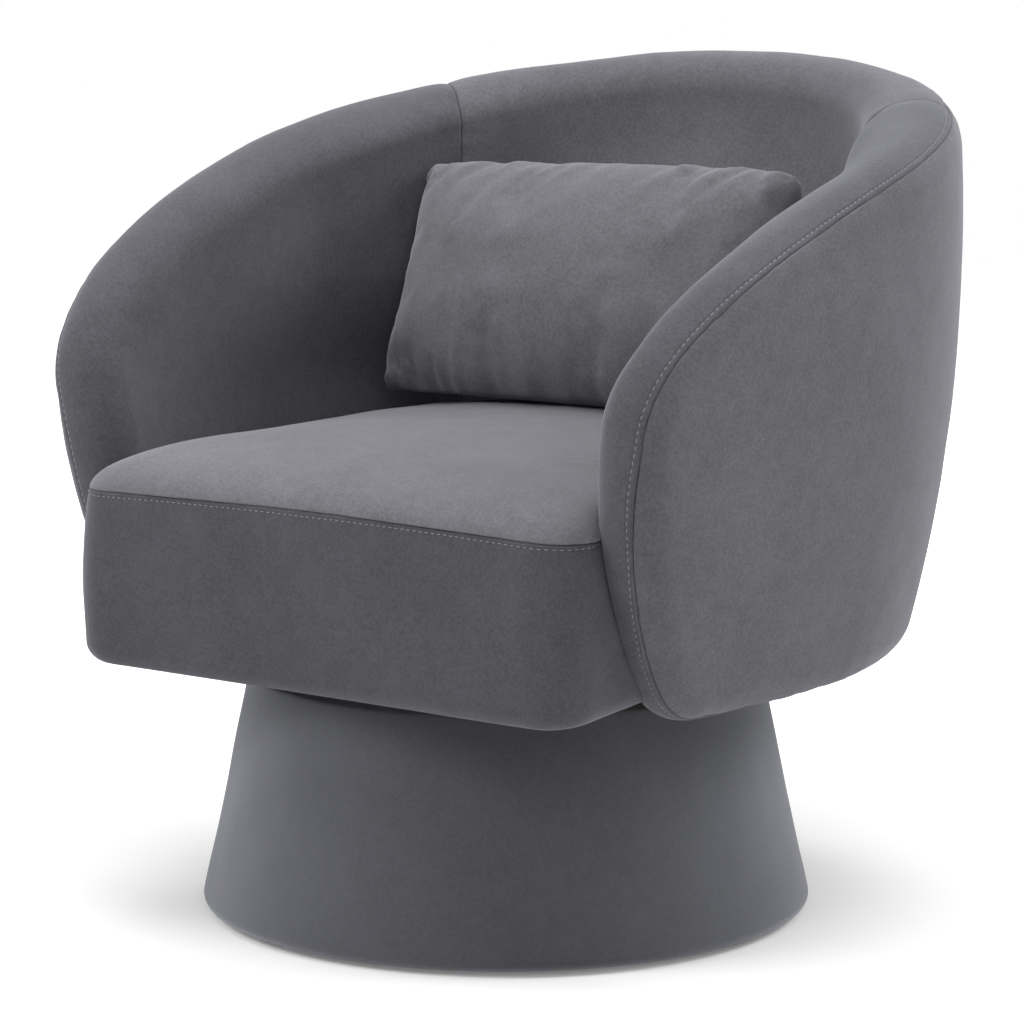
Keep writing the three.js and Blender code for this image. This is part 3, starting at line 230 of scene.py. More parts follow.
def between_entries(table: Array, row: Array, column: Array) -> Array:
    """Reads a table between its entries, in proportion to the nearness of the four around.

    Args:
        table: Rows and columns of values.
        row: Places among the rows, counted from 0.
        column: Places among the columns, counted from 0.

    Returns:
        One value per place; a place outside the table takes the value at its edge.
    """
    row = np.clip(row, 0.0, table.shape[0] - 1.001)
    column = np.clip(column, 0.0, table.shape[1] - 1.001)
    i, j = row.astype(int), column.astype(int)
    s, t = row - i, column - j
    return ((1 - s) * ((1 - t) * table[i, j] + t * table[i, j + 1])
            + s * ((1 - t) * table[i + 1, j] + t * table[i + 1, j + 1]))


def spaced(start: float, end: float, step: float) -> Array:
    """Even values from start to end, no further apart than a step."""
    count = max(2, int(math.ceil(abs(end - start) / step)) + 1)
    return np.linspace(start, end, count)


def grid_faces(rows: int, columns: int, first: int = 0, closed: bool = False) -> Array:
    """Four-sided faces between the points of a grid whose points are numbered row by row.

    Args:
        rows: Number of rows.
        columns: Number of points in a row.
        first: Number of the grid's first point.
        closed: Whether the last column joins the first.

    Returns:
        Faces as rows of four point numbers.
    """
    numbers = first + np.arange(rows * columns).reshape(rows, columns)
    if closed:
        numbers = np.concatenate([numbers, numbers[:, :1]], axis=1)
    corners = (numbers[:-1, :-1], numbers[1:, :-1], numbers[1:, 1:], numbers[:-1, 1:])
    return np.stack(corners, axis=-1).reshape(-1, 4)


def zipped_faces(one: Array, other: Array) -> Array:
    """Faces that close the space between two lines of points with the same two ends.

    Args:
        one: Point numbers along the longer line.
        other: Point numbers along the shorter line.

    Returns:
        Faces as rows of four point numbers, a repeated number marking a triangle.
    """
    share = np.arange(len(one)) / (len(one) - 1)
    partner = other[np.round(share * (len(other) - 1)).astype(int)]
    return np.stack([one[:-1], one[1:], partner[1:], partner[:-1]], axis=-1)


def enclosed_volume(points: Array, faces: Array) -> float:
    """Volume inside a closed skin: the sum of the signed pyramids from the origin to its faces."""
    a, b, c, d = (points[faces[:, i]] for i in range(4))
    first = np.einsum("ij,ij->i", a, np.cross(b, c))
    second = np.einsum("ij,ij->i", a, np.cross(c, d))
    return float((first + second).sum() / 6.0)


def new_mesh(name: str, points: Array, faces: Array) -> Item:
    """Makes a smooth closed object from points and faces, welded, its faces turned outwards.

    Two faces on the same points are a wall inside the piece, and both are left out.

    Args:
        name: Name of the piece.
        points: Points in the row frame, in metres.
        faces: Rows of four point numbers, a repeated number marking a triangle.

    Returns:
        The object, linked to the scene at the origin.
    """
    keys = np.round(np.round(points, NOISE_DECIMALS), WELD_DECIMALS)
    _, first, inverse = np.unique(keys, axis=0, return_index=True, return_inverse=True)
    faces = inverse.reshape(-1)[faces]
    points = points[first]
    _, same, count = np.unique(np.sort(faces, axis=1), axis=0, return_inverse=True,
                               return_counts=True)
    faces = faces[count[same.reshape(-1)] == 1]
    if enclosed_volume(points, faces) < 0.0:
        faces = faces[:, ::-1]
    fresh = faces != np.roll(faces, 1, axis=1)
    sides = fresh.sum(axis=1)
    crossed = (faces[:, 0] == faces[:, 2]) | (faces[:, 1] == faces[:, 3])
    quads = faces[(sides == 4) & ~crossed]
    threes = (sides == 3) & ~crossed
    triangles = faces[threes][fresh[threes]].reshape(-1, 3)
    mesh = bpy.data.meshes.new(name)
    mesh.from_pydata(points.tolist(), [], quads.tolist() + triangles.tolist())
    mesh.update()
    mesh.shade_smooth()
    item = bpy.data.objects.new(name, mesh)
    bpy.context.scene.collection.objects.link(item)
    return item


def read_points(mesh: bpy.types.Mesh) -> Array:
    """Gives a mesh's points as an array."""
    flat = np.empty(len(mesh.vertices) * 3, dtype=np.float32)
    mesh.vertices.foreach_get("co", flat)
    return flat.reshape(-1, 3).astype(float)


def apply_modifiers(item: Item) -> None:
    """Keeps the shape that an object's modifiers give, and takes them off."""
    graph = bpy.context.evaluated_depsgraph_get()
    shaped = bpy.data.meshes.new_from_object(item.evaluated_get(graph))
    item.modifiers.clear()
    item.data = shaped


def carve(item: Item, cutter: Item) -> None:
    """Takes a cutter's space out of a piece, and keeps the cut's edges crisp."""
    cut = item.modifiers.new("fit", "BOOLEAN")
    cut.operation = "DIFFERENCE"
    cut.solver = "MANIFOLD"
    cut.object = cutter
    bpy.context.view_layer.update()
    apply_modifiers(item)
    item.data.shade_smooth()
    item.data.set_sharp_from_angle(angle=CREASE_ANGLE)


def grid_normals(points: Array) -> Array:
    """Upright directions of a grid of points: the cross product of its two slopes.

    Args:
        points: Rows and columns of points; the last column may repeat the first.

    Returns:
        One unit direction per point.
    """
    down = np.gradient(points, axis=0)
    across = np.gradient(points, axis=1)
    if np.allclose(points[:, 0], points[:, -1], atol=1e-6):
        across[:, 0] = across[:, -1] = (points[:, 1] - points[:, -2]) / 2.0
    normal = np.cross(down, across)
    size = np.linalg.norm(normal, axis=-1, keepdims=True)
    return normal / np.clip(size, 1e-12, None)


def block(name: str, low: Array, high: Array) -> Item:
    """Builds a box between two corners, for cutting."""
    share = np.array(list(np.ndindex(2, 2, 2)), dtype=float)
    points = low + (high - low) * share
    faces = np.array([[0, 1, 3, 2], [4, 6, 7, 5], [0, 4, 5, 1], [2, 3, 7, 6], [0, 2, 6, 4],
                      [1, 5, 7, 3]])
    return new_mesh(name, points, faces)


def grown_block(node: str, margin: float) -> Item:
    """Copies a small CAD block, grown by a margin on every side, for cutting.

    Args:
        node: Name of the CAD node.
        margin: How far each side moves out from the middle.

    Returns:
        The copy: the convex hull of the block's points, each moved away from the middle.
    """
    source = frame["nodes"][node]
    place = np.array(source.matrix_world)
    placed = read_points(source.data) @ place[:3, :3].T + place[:3, 3]
    placed = np.unique(np.round(placed, 6), axis=0)
    middle = (placed.max(axis=0) + placed.min(axis=0)) / 2.0
    away = placed - middle
    half = max(float(np.abs(away).min()), SMALLEST_HALF)
    mesh = bpy.data.meshes.new(f"notch_{node}")
    mesh.from_pydata((middle + away * (1.0 + margin / half)).tolist(), [], [])
    shape = bmesh.new()
    shape.from_mesh(mesh)
    hull = bmesh.ops.convex_hull(shape, input=shape.verts)
    bmesh.ops.delete(shape, geom=list(hull["geom_interior"]), context="VERTS")
    bmesh.ops.recalc_face_normals(shape, faces=shape.faces)
    shape.to_mesh(mesh)
    shape.free()
    item = bpy.data.objects.new(mesh.name, mesh)
    bpy.context.scene.collection.objects.link(item)
    return item


def discard(*items: Item) -> None:
    """Takes helper objects and their meshes out of the scene."""
    for item in items:
        mesh = item.data
        bpy.data.objects.remove(item)
        bpy.data.meshes.remove(mesh)


# Finishes


@dataclass(frozen=True)
class Grain:
    """A noise pattern: cells per metre, and the number and the strength of its finer layers."""

    scale: float
    layers: float = 2.0
    strength: float = 0.5
    stretch: Triple = (1.0, 1.0, 1.0)


def shaded(colour: Triple, share: float) -> tuple[float, ...]:
    """Turns a colour on the 0 to 255 screen scale into linear light, lighter by a share."""
    return tuple(((c / 255.0 + 0.055) / 1.055) ** 2.4 * (1.0 + share) for c in colour)


class NodeSheet:
    """The nodes of a material or of the world, with short calls to add and join them."""

    def __init__(self, owner: Finish | bpy.types.World,
                 output: str = "ShaderNodeOutputMaterial") -> None:
        """Starts with an output alone."""
        owner.use_nodes = True
        self.tree = owner.node_tree
        self.tree.nodes.clear()
        self.output = self.tree.nodes.new(output)

    def add(self, kind: str, **settings: object) -> bpy.types.Node:
        """Adds a node.

        Args:
            kind: Blender's name for the type of node.
            **settings: Properties of the node, or values for its inputs by name.

        Returns:
            The node.
        """
        node = self.tree.nodes.new(kind)
        for key, value in settings.items():
            if hasattr(node, key):
                setattr(node, key, value)
            else:
                node.inputs[key.replace("_", " ").title()].default_value = value
        return node

    def join(self, start: Socket, end: Socket) -> None:
        """Joins an output to an input."""
        self.tree.links.new(start, end)

    def place(self) -> Socket:
        """Gives the point's place on its own piece."""
        return self.add("ShaderNodeTexCoord").outputs["Object"]

    def noise(self, grain: Grain) -> Socket:
        """Adds a noise pattern on the piece's own place, and gives its value."""
        mapping = self.add("ShaderNodeMapping", scale=grain.stretch)
        self.join(self.place(), mapping.inputs["Vector"])
        pattern = self.add("ShaderNodeTexNoise", scale=grain.scale, detail=grain.layers,
                           roughness=grain.strength)
        self.join(mapping.outputs["Vector"], pattern.inputs["Vector"])
        return pattern.outputs[0]

    def ranged(self, value: Socket, low: float, high: float,
               new_low: float = 0.0, new_high: float = 1.0) -> Socket:
        """Maps a value from one range to another, smoothly."""
        node = self.add("ShaderNodeMapRange", interpolation_type="SMOOTHSTEP", from_min=low,
                        from_max=high, to_min=new_low, to_max=new_high)
        self.join(value, node.inputs["Value"])
        return node.outputs["Result"]

    def maths(self, operation: str, a: Socket, b: Socket | float) -> Socket:
        """Adds a sum, product or the like of a value with another value or a number."""
        node = self.add("ShaderNodeMath", operation=operation)
        self.join(a, node.inputs[0])
        if isinstance(b, float):
            node.inputs[1].default_value = b
        else:
            self.join(b, node.inputs[1])
        return node.outputs[0]

    def weighted(self, *parts: tuple[Socket, float]) -> Socket:
        """Adds up values, each times its weight."""
        total = None
        for value, weight in parts:
            part = self.maths("MULTIPLY", value, weight)
            total = part if total is None else self.maths("ADD", total, part)
        return total

    def shades(self, share: Socket, colour: Triple, darker: float, lighter: float) -> Socket:
        """Blends a darker and a lighter shade of a screen colour by a share."""
        node = self.add("ShaderNodeMix", data_type="RGBA")
        dark, light = [s for s in node.inputs if s.type == "RGBA"][:2]
        dark.default_value = (*shaded(colour, -darker), 1.0)
        light.default_value = (*shaded(colour, lighter), 1.0)
        self.join(share, node.inputs[0])
        return next(s for s in node.outputs if s.type == "RGBA")

    def bump(self, height: Socket, strength: float, distance: float,
             under: Socket | None = None) -> Socket:
        """Turns a height pattern into relief, on top of other relief where given."""
        node = self.add("ShaderNodeBump", strength=strength, distance=distance)
        self.join(height, node.inputs["Height"])
        if under is not None:
            self.join(under, node.inputs["Normal"])
        return node.outputs["Normal"]

    def surface(self, colour: Socket, relief: Socket, **settings: object) -> bpy.types.Node:
        """Adds the main shader, with a colour, a relief and values for its inputs by name."""
        shader = self.add("ShaderNodeBsdfPrincipled")
        for key, value in settings.items():
            label = key.replace("_", " ").title().replace("Ior", "IOR")
            shader.inputs[label].default_value = value
        self.join(colour, shader.inputs["Base Color"])
        self.join(relief, shader.inputs["Normal"])
        self.join(shader.outputs[0], self.output.inputs["Surface"])
        return shader


def new_material(name: str) -> tuple[Finish, NodeSheet]:
    """Starts a material, and gives it with its sheet of nodes."""
    material = bpy.data.materials.new(name)
    return material, NodeSheet(material)


@dataclass(frozen=True)
class VelvetFinish:
    """Short-pile velvet: patches of brushed nap, fine fibres, and a sheen at grazing angles.

    Each pattern's middle range is spread over the whole way from the dark to the light shade.
    """

    name: str = "velvet"
    colour: Triple = (80.0, 79.0, 84.0)
    patches: Grain = Grain(9.0, 3.0, 0.55)
    mottle: Grain = Grain(62.0, 4.0, 0.6)
    nap: Grain = Grain(360.0, 3.0, 0.65)
    fibres: Grain = Grain(1500.0, 2.0, 0.6)
    contrasts: tuple[float, float, float, float] = (0.06, 0.05, 0.13, 0.08)
    middle: Pair = (0.3, 0.7)
    tufts: Grain = Grain(230.0, 3.0, 0.6)
    tuft_relief: Pair = (0.22, 0.0006)
    pile: Grain = Grain(2100.0, 1.0, 0.5)
    pile_relief: Pair = (0.35, 0.00025)
    sheen_weight: float = 0.35
    sheen_roughness: float = 0.40
    sheen_tint: Triple = (0.86, 0.88, 0.95)

    def build(self) -> Finish:
        """Makes the material: patches, mottle, nap and fibres add up to a share of two shades."""
        material, sheet = new_material(self.name)
        total = sum(self.contrasts)
        grains = (self.patches, self.mottle, self.nap, self.fibres)
        share = sheet.weighted(*(
            (sheet.ranged(sheet.noise(grain), *self.middle), contrast / total)
            for grain, contrast in zip(grains, self.contrasts)))
        relief = sheet.bump(sheet.noise(self.tufts), *self.tuft_relief)
        sheet.surface(
            sheet.shades(share, self.colour, total, total),
            sheet.bump(sheet.noise(self.pile), *self.pile_relief, relief),
            roughness=0.92, specular_ior_level=0.12, sheen_weight=self.sheen_weight,
            sheen_roughness=self.sheen_roughness, sheen_tint=(*self.sheen_tint, 1.0))
        return material


@dataclass(frozen=True)
class ThreadFinish:
    """Pale grey topstitching thread with a fine twist."""

    name: str = "thread"
    colour: Triple = (142.0, 143.0, 148.0)
    twist: Grain = Grain(2600.0, 1.0)

    def build(self) -> Finish:
        """Makes the material: a twist of two close shades."""
        material, sheet = new_material(self.name)
        twist = sheet.noise(self.twist)
        sheet.surface(sheet.shades(twist, self.colour, 0.18, 0.12), sheet.bump(twist, 0.4, 0.0001),
                      roughness=0.6, sheen_weight=0.2)
        return material


@dataclass(frozen=True)
class WoodFinish:
    """Sawn timber or plywood: long grain along one axis, with pores."""

    name: str
    colour: Triple
    stretch: Triple = (1.0, 9.0, 9.0)
    plies_per_metre: float = 0.0

    def build(self) -> Finish:
        """Makes the material: stretched noise for grain, and bands by height for plies."""
        material, sheet = new_material(self.name)
        grain = sheet.noise(Grain(14.0, 5.0, 0.62, self.stretch))
        pores = sheet.noise(Grain(160.0, 2.0, 0.5, self.stretch))
        share = sheet.weighted((grain, 0.75), (pores, 0.25))
        if self.plies_per_metre:
            split = sheet.add("ShaderNodeSeparateXYZ")
            sheet.join(sheet.place(), split.inputs[0])
            turns = sheet.maths("MULTIPLY", split.outputs["Z"], self.plies_per_metre * math.tau)
            bands = sheet.maths("MULTIPLY", sheet.maths("SINE", turns, 0.0), 0.12)
            share = sheet.maths("ADD", share, bands)
        sheet.surface(sheet.shades(share, self.colour, 0.45, 0.3), sheet.bump(pores, 0.25, 0.0004),
                      roughness=0.62, specular_ior_level=0.3)
        return material


@dataclass(frozen=True)
class FibreFinish:
    """Pressed board, foam or felted cloth: fine specks of two shades with a rough surface."""

    name: str
    colour: Triple
    specks_per_metre: float = 420.0
    contrast: float = 0.2
    relief: float = 0.0004
    roughness: float = 0.9

    def build(self) -> Finish:
        """Makes the material: one fine noise drives both colour and relief."""
        material, sheet = new_material(self.name)
        specks = sheet.noise(Grain(self.specks_per_metre, 4.0, 0.65))
        share = sheet.weighted((specks, 0.7), (sheet.noise(Grain(11.0)), 0.3))
        sheet.surface(sheet.shades(share, self.colour, self.contrast, self.contrast),
                      sheet.bump(specks, 0.5, self.relief),
                      roughness=self.roughness, specular_ior_level=0.2)
        return material


@dataclass(frozen=True)
class MetalFinish:
    """Plated or oiled steel with rolling marks and faint smears."""

    name: str
    colour: Triple
    roughness: float = 0.34

    def build(self) -> Finish:
        """Makes the material: stretched noise for rolling marks moves the roughness."""
        material, sheet = new_material(self.name)
        marks = sheet.noise(Grain(90.0, 3.0, 0.6, (1.0, 12.0, 12.0)))
        smears = sheet.noise(Grain(22.0))
        shader = sheet.surface(sheet.shades(smears, self.colour, 0.12, 0.1),
                               sheet.bump(marks, 0.15, 0.0001), metallic=1.0)
        rough = sheet.ranged(marks, 0.3, 0.7, self.roughness - 0.08, self.roughness + 0.12)
        sheet.join(rough, shader.inputs["Roughness"])
        return material


@dataclass(frozen=True)
class NylonFinish:
    """Moulded nylon with a light grain."""

    name: str = "nylon"
    colour: Triple = (38.0, 38.0, 41.0)

    def build(self) -> Finish:
        """Makes the material: a fine grain in colour and relief."""
        material, sheet = new_material(self.name)
        grain = sheet.noise(Grain(900.0))
        sheet.surface(sheet.shades(grain, self.colour, 0.15, 0.15), sheet.bump(grain, 0.3, 0.0001),
                      roughness=0.5)
        return material


def dress(item: Item, material: Finish) -> None:
    """Gives every slot of an object one material."""
    if not item.material_slots:
        item.data.materials.append(material)
    for slot in item.material_slots:
        slot.material = material


def settle(item: Item, body: str, node: str, velvet: Finish) -> None:
    """Dresses a padded piece, and sets it in its CAD node's place.

    Args:
        item: The piece.
        body: The body that it moves with.
        node: The CAD node that it stands for.
        velvet: Its finish.
    """
    dress(item, velvet)
    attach(item, body)
    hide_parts(node)
    log.info("%s: %d faces", item.name, len(item.data.polygons))


# Stitches


@dataclass(frozen=True)
class StitchRow:
    """A row of topstitches: short bowed threads whose ends dip into the cover."""

    pitch: float = 0.0064
    length: float = 0.0047
    radius: float = 0.00036
    dip: float = 0.00055
    rings: int = 5
    sides: int = 6

    def thread(self) -> tuple[Array, Array]:
        """Makes one stitch: a tube along x that bows up in z, and tapers to a point at each end.

        Returns:
            Its points and its faces.
        """
        along = np.linspace(-1.0, 1.0, self.rings + 2)
        thick = self.radius * np.sqrt(np.clip(1.0 - along**4, 0.0, 1.0))
        turn = np.arange(self.sides) * math.tau / self.sides
        height = 0.25 * self.radius - self.dip * along**2
        x = np.repeat(along[:, None] * self.length / 2.0, self.sides, axis=1)
        y = thick[:, None] * np.cos(turn)
        z = height[:, None] + thick[:, None] * np.sin(turn)
        points = np.stack([x, y, z], axis=-1).reshape(-1, 3)
        return points, grid_faces(self.rings + 2, self.sides, closed=True)

    def build(self, name: str, path: Array, normals: Array) -> Item:
        """Lays stitches end to end along a path on a cover.

        Args:
            name: Name of the row.
            path: Points along the row, in order.
            normals: The cover's outward direction at each point.

        Returns:
            The row as one object.
        """
        run = travelled(path)
        places = np.arange(self.pitch, run[-1] - self.pitch / 2.0, self.pitch)
        at = [np.stack([np.interp(places + d, run, path[:, i]) for i in range(3)], axis=-1)
              for d in (-self.length / 2.0, 0.0, self.length / 2.0)]
        up = np.stack([np.interp(places, run, normals[:, i]) for i in range(3)], axis=-1)
        ahead = unit(at[2] - at[0])
        across = unit(np.cross(up, ahead))
        up = np.cross(ahead, across)
        shape, faces = self.thread()
        axes = np.stack([ahead, across, up], axis=1)
        points = at[1][:, None, :] + np.einsum("pk,skc->spc", shape, axes)
        numbers = np.arange(len(places))[:, None, None] * len(shape)
        return new_mesh(name, points.reshape(-1, 3), (numbers + faces).reshape(-1, 4))


def sew(name: str, line: Array, thread: Finish) -> None:
    """Sews a row of topstitches on the seat's cover.

    Args:
        name: Name of the row.
        line: The row's points, and the cover's outward directions at them.
        thread: The thread's finish.
    """
    row = StitchRow().build(name, line[0], line[1])
    dress(row, thread)
    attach(row, "seat")
    log.info("%s: %d faces", row.name, len(row.data.polygons))


# Barrel shell


@dataclass
class Spokes:
    """Lines in the unrolled shell, each from a point on the edge to its foot on the ridge.

    The runs go round the plan from the middle of the back, and the heights are from the floor.
    The slant is how many times longer a spoke's way in is than the way square to the edge.
    """

    run: Array
    height: Array
    foot_run: Array
    foot_height: Array
    slant: Array
    along_edge: Array

    @property
    def length(self) -> Array:
        """Length of each spoke."""
        return np.hypot(self.foot_run - self.run, self.foot_height - self.height)

    def at(self, inset: Array) -> tuple[Array, Array]:
        """Gives the run and height at insets from the edge.

        Args:
            inset: One row of insets for each spoke.

        Returns:
            Runs and heights, shaped like the insets.
        """
        share = inset / self.length[:, None]
        run = self.run[:, None] + (self.foot_run - self.run)[:, None] * share
        height = self.height[:, None] + (self.foot_height - self.height)[:, None] * share
        return run, height


@dataclass
class BarrelShell:
    """The padded barrel: a thick sheet, unrolled to run and height, with half-round edges."""

    half_width: float = 0.340
    half_depth: float = 0.335
    centre_y: float = 0.057
    arm_length: float = 0.303
    toe_in: float = 0.039
    radius: float = 0.0365
    bottom: float = 0.224
    top: float = 0.760
    front_rise: float = 0.256
    fullness: tuple[Triple, ...] = (
        (0.026, 0.390, 0.120), (0.012, 0.610, 0.085), (-0.009, 0.815, 0.050))
    fullness_heights: Pair = (0.43, 0.55)
    back_bottom_rise: float = 0.016
    corner_length: float = 0.118
    widest: float = 0.625
    bottom_taper: float = 0.063
    taper_power: float = 2.2
    top_lean: float = 0.008
    rim_flat: float = 0.377
    rim_fall: float = 0.524
    corner_drop: float = 0.580
    corner_run: float = 0.512
    under_blend: Pair = (0.6, 0.3)
    ridge_inset: float = 0.145
    ridge_rise: float = 0.020
    back_swell: float = 0.088
    swell_half_run: float = 0.300
    swell_heights: tuple[float, float, float, float] = (0.392, 0.440, 0.470, 0.730)
    least_square: float = 0.6
    samples: int = 4000
    limit_turns: int = 721
    limit_runs: int = 1601
    plan_table: Array = field(init=False)
    edge_table: Array = field(init=False)

    def __post_init__(self) -> None:
        """Works out the tables of the plan and of the edge."""
        self.plan_table = self._plan()
        self.edge_table = self._edge()

    def _plan(self) -> Array:
        """Plan of the right half: a quarter ellipse, then an arm that toes in by the square.

        Returns:
            Columns of run, x, y and the two parts of the outward direction.
        """
        turn = np.linspace(0.0, QUARTER, self.samples)
        share = np.linspace(0.0, 1.0, self.samples)[1:]
        x = np.concatenate([self.half_width * np.sin(turn),
                            self.half_width - self.toe_in * share**2])
        y = np.concatenate([self.centre_y + self.half_depth * np.cos(turn),
                            self.centre_y - self.arm_length * share])
        slope_x = np.concatenate([self.half_width * np.cos(turn), -2.0 * self.toe_in * share])
        slope_y = np.concatenate([-self.half_depth * np.sin(turn),
                                  np.full(len(share), -self.arm_length)])
        size = np.hypot(slope_x, slope_y)
        run = np.concatenate([[0.0], np.cumsum(np.hypot(np.diff(x), np.diff(y)))])
        return np.stack([run, x, y, -slope_y / size, slope_x / size], axis=-1)

    def _edge(self) -> Array:
        """Edge of the right half, as three cubic curves in run and height.

        It goes over the rim from the middle of the back, round the arm's front and under it.

        Returns:
            Columns of distance, run, height and the two parts of the direction ahead.
        """
        far, low = self.far_run, self.bottom
        front = low + self.front_rise
        back_low = low + self.back_bottom_rise
        corner = far - self.corner_length
        curves = (
            ((0.0, self.top), (self.rim_flat * far, self.top),
             (far, front + self.rim_fall * (self.top - front)), (far, front)),
            ((far, front), (far, front - self.corner_drop * self.front_rise),
             (far - self.corner_length * (1.0 - self.corner_run), low), (corner, low)),
            ((corner, low), (self.under_blend[0] * far, low),
             (self.under_blend[1] * far, back_low), (0.0, back_low)),
        )
        t = np.linspace(0.0, 1.0, self.samples)[:, None]
        pieces = [(1 - t) ** 3 * np.array(a) + 3 * (1 - t) ** 2 * t * np.array(b)
                  + 3 * (1 - t) * t * t * np.array(c) + t**3 * np.array(d)
                  for a, b, c, d in curves]
        line = np.concatenate([pieces[0], pieces[1][1:], pieces[2][1:]])
        distance = travelled(line)
        ahead = unit(np.gradient(line, distance, axis=0))
        return np.column_stack([distance, line, ahead])

    @property
    def far_run(self) -> float:
        """Run from the middle of the back to an arm's front."""
        return float(self.plan_table[-1, 0])

    @property
    def ridge_run(self) -> float:
        """Run at which the ridge ends."""
        return self.far_run - self.ridge_inset

    def inward(self, height: Array) -> tuple[Array, Array]:
        """How far the middle of the shell lies inside its widest plan.

        Below the widest height it grows by a power of the distance, and above it by the square.

        Args:
            height: Heights from the floor.

        Returns:
            The inward distance, and how it changes with height.
        """
        below_span = self.widest - self.bottom + self.radius
        above_span = self.top - self.widest
        below = np.clip((self.widest - height) / below_span, 0.0, None)
        above = np.clip((height - self.widest) / above_span, 0.0, None)
        inward = self.bottom_taper * below**self.taper_power + self.top_lean * above**2
        change = (2.0 * self.top_lean * above / above_span
                  - self.bottom_taper * self.taper_power * below ** (self.taper_power - 1.0)
                  / below_span)
        return inward, change

    def point(self, run: Array, height: Array, offset: Array) -> tuple[Array, Array]:
        """Point off the middle surface: the plan, moved inward by height, then along the normal.

        Args:
            run: Runs round the plan, negative on the left.
            height: Heights from the floor.
            offset: Distances off the middle, positive outwards.

        Returns:
            Points and outward normals.
        """
        side = np.where(run < 0.0, -1.0, 1.0)
        reach = np.clip(np.abs(run), 0.0, self.far_run)
        x, y, out_x, out_y = (np.interp(reach, self.plan_table[:, 0], self.plan_table[:, i])
                              for i in range(1, 5))
        inward, change = self.inward(height)
        normal = unit(np.stack([side * out_x, out_y, change], axis=-1))
        middle = np.stack([side * (x - out_x * inward), y - out_y * inward, height], axis=-1)
        return middle + normal * np.asarray(offset)[..., None], normal

    def swell(self, run: Array, height: Array) -> Array:
        """How far the inside back stands forward: a squared cosine across, faded up and down."""
        start, full, hold, end = self.swell_heights
        share = np.clip(np.abs(run) / self.swell_half_run, 0.0, 1.0)
        across = np.cos(QUARTER * share) ** 2
        fade = smoothstep(start, full, height) * (1.0 - smoothstep(hold, end, height))
        return self.back_swell * across * fade

    def extra(self, run: Array, height: Array) -> Array:
        """How much fuller the inner side is, as a share: bell curves round the plan, up high."""
        total = sum(rise * bell(np.abs(run), centre, width)
                    for rise, centre, width in self.fullness)
        return total * smoothstep(*self.fullness_heights, height) / self.radius

    def ridge_height(self, run: Array) -> Array:
        """Height of the ridge: high behind, and a cosine down to the arms."""
        low = self.bottom + self.front_rise / 2.0 + self.ridge_rise
        high = (self.top + self.bottom) / 2.0
        share = np.clip(np.abs(run) / self.ridge_run, 0.0, 1.0)
        return low + (high - low) * np.cos(share * QUARTER)

    def spokes(self, distance: Array, side: int | Array, runs: Array) -> Spokes:
        """Spokes from the edge.

        Args:
            distance: Distances along the edge from the middle of the back's rim.
            side: 1 for the right half and -1 for the left.
            runs: The exact run of each spoke, so that it matches another spoke's.

        Returns:
            The spokes.
        """
        table = self.edge_table
        height, ahead_run, ahead_height = (
            np.interp(distance, table[:, 0], table[:, i]) for i in range(2, 5))
        foot_run = np.minimum(runs, self.ridge_run)
        foot_height = self.ridge_height(foot_run)
        length = np.hypot(foot_run - runs, foot_height - height)
        square = np.abs((foot_run - runs) * ahead_height - (foot_height - height) * ahead_run)
        square /= length * np.hypot(ahead_run, ahead_height)
        slant = 1.0 / np.clip(square, self.least_square, 1.0)
        return Spokes(side * runs, height, side * foot_run, foot_height, slant, distance)

    def halves(self) -> tuple[tuple[Array, Array], tuple[Array, Array]]:
        """The rim's and the underside's tables of run and distance, up to where the ridge ends."""
        table = self.edge_table
        inside = table[:, 1] <= self.ridge_run
        split = int(np.argmax(table[:, 1]))
        rim = inside & (np.arange(len(table)) < split)
        under = inside & (np.arange(len(table)) > split)
        return ((table[rim, 1], table[rim, 0]), (table[under, 1][::-1], table[under, 0][::-1]))

    def inner_limit(self, centre_y: float, heights: Array) -> tuple[Array, Array]:
        """How far a seated cushion can reach before it meets the shell's inner face.

        Args:
            centre_y: Depth of the point that directions are taken from, on the centre line.
            heights: Heights at which to measure.

        Returns:
            Directions as turns from +Y towards +X, and a table of reaches by height and direction.
        """
        turns = np.linspace(-math.pi, math.pi, self.limit_turns)
        run = np.linspace(-self.far_run, self.far_run, self.limit_runs)
        split = int(np.argmax(self.edge_table[:, 1]))
        rim_top, under = self.edge_table[:split], self.edge_table[split:]
        rows = []
        for height in heights:
            part = under if height < self.edge_table[split, 2] else rim_top
            order = np.argsort(part[:, 2])
            edge_run = np.interp(height, part[order, 2], part[order, 1])
            left = np.clip((edge_run - np.abs(run)) / self.radius, 0.0, 1.0)
            inner = -self.radius * np.sqrt(np.clip(1.0 - (1.0 - left) ** 2, 0.0, 1.0))
            level = np.full_like(run, height)
            inner = inner * (1.0 + self.extra(run, level)) - self.swell(run, level)
            keep = np.abs(run) <= edge_run
            points, _ = self.point(run[keep], level[keep], inner[keep])
            turn = np.arctan2(points[:, 0], points[:, 1] - centre_y)
            reach = np.hypot(points[:, 0], points[:, 1] - centre_y)
            order = np.argsort(turn)
            rows.append(np.interp(turns, turn[order], reach[order], left=NO_LIMIT,
                                  right=NO_LIMIT))
        return turns, np.stack(rows)


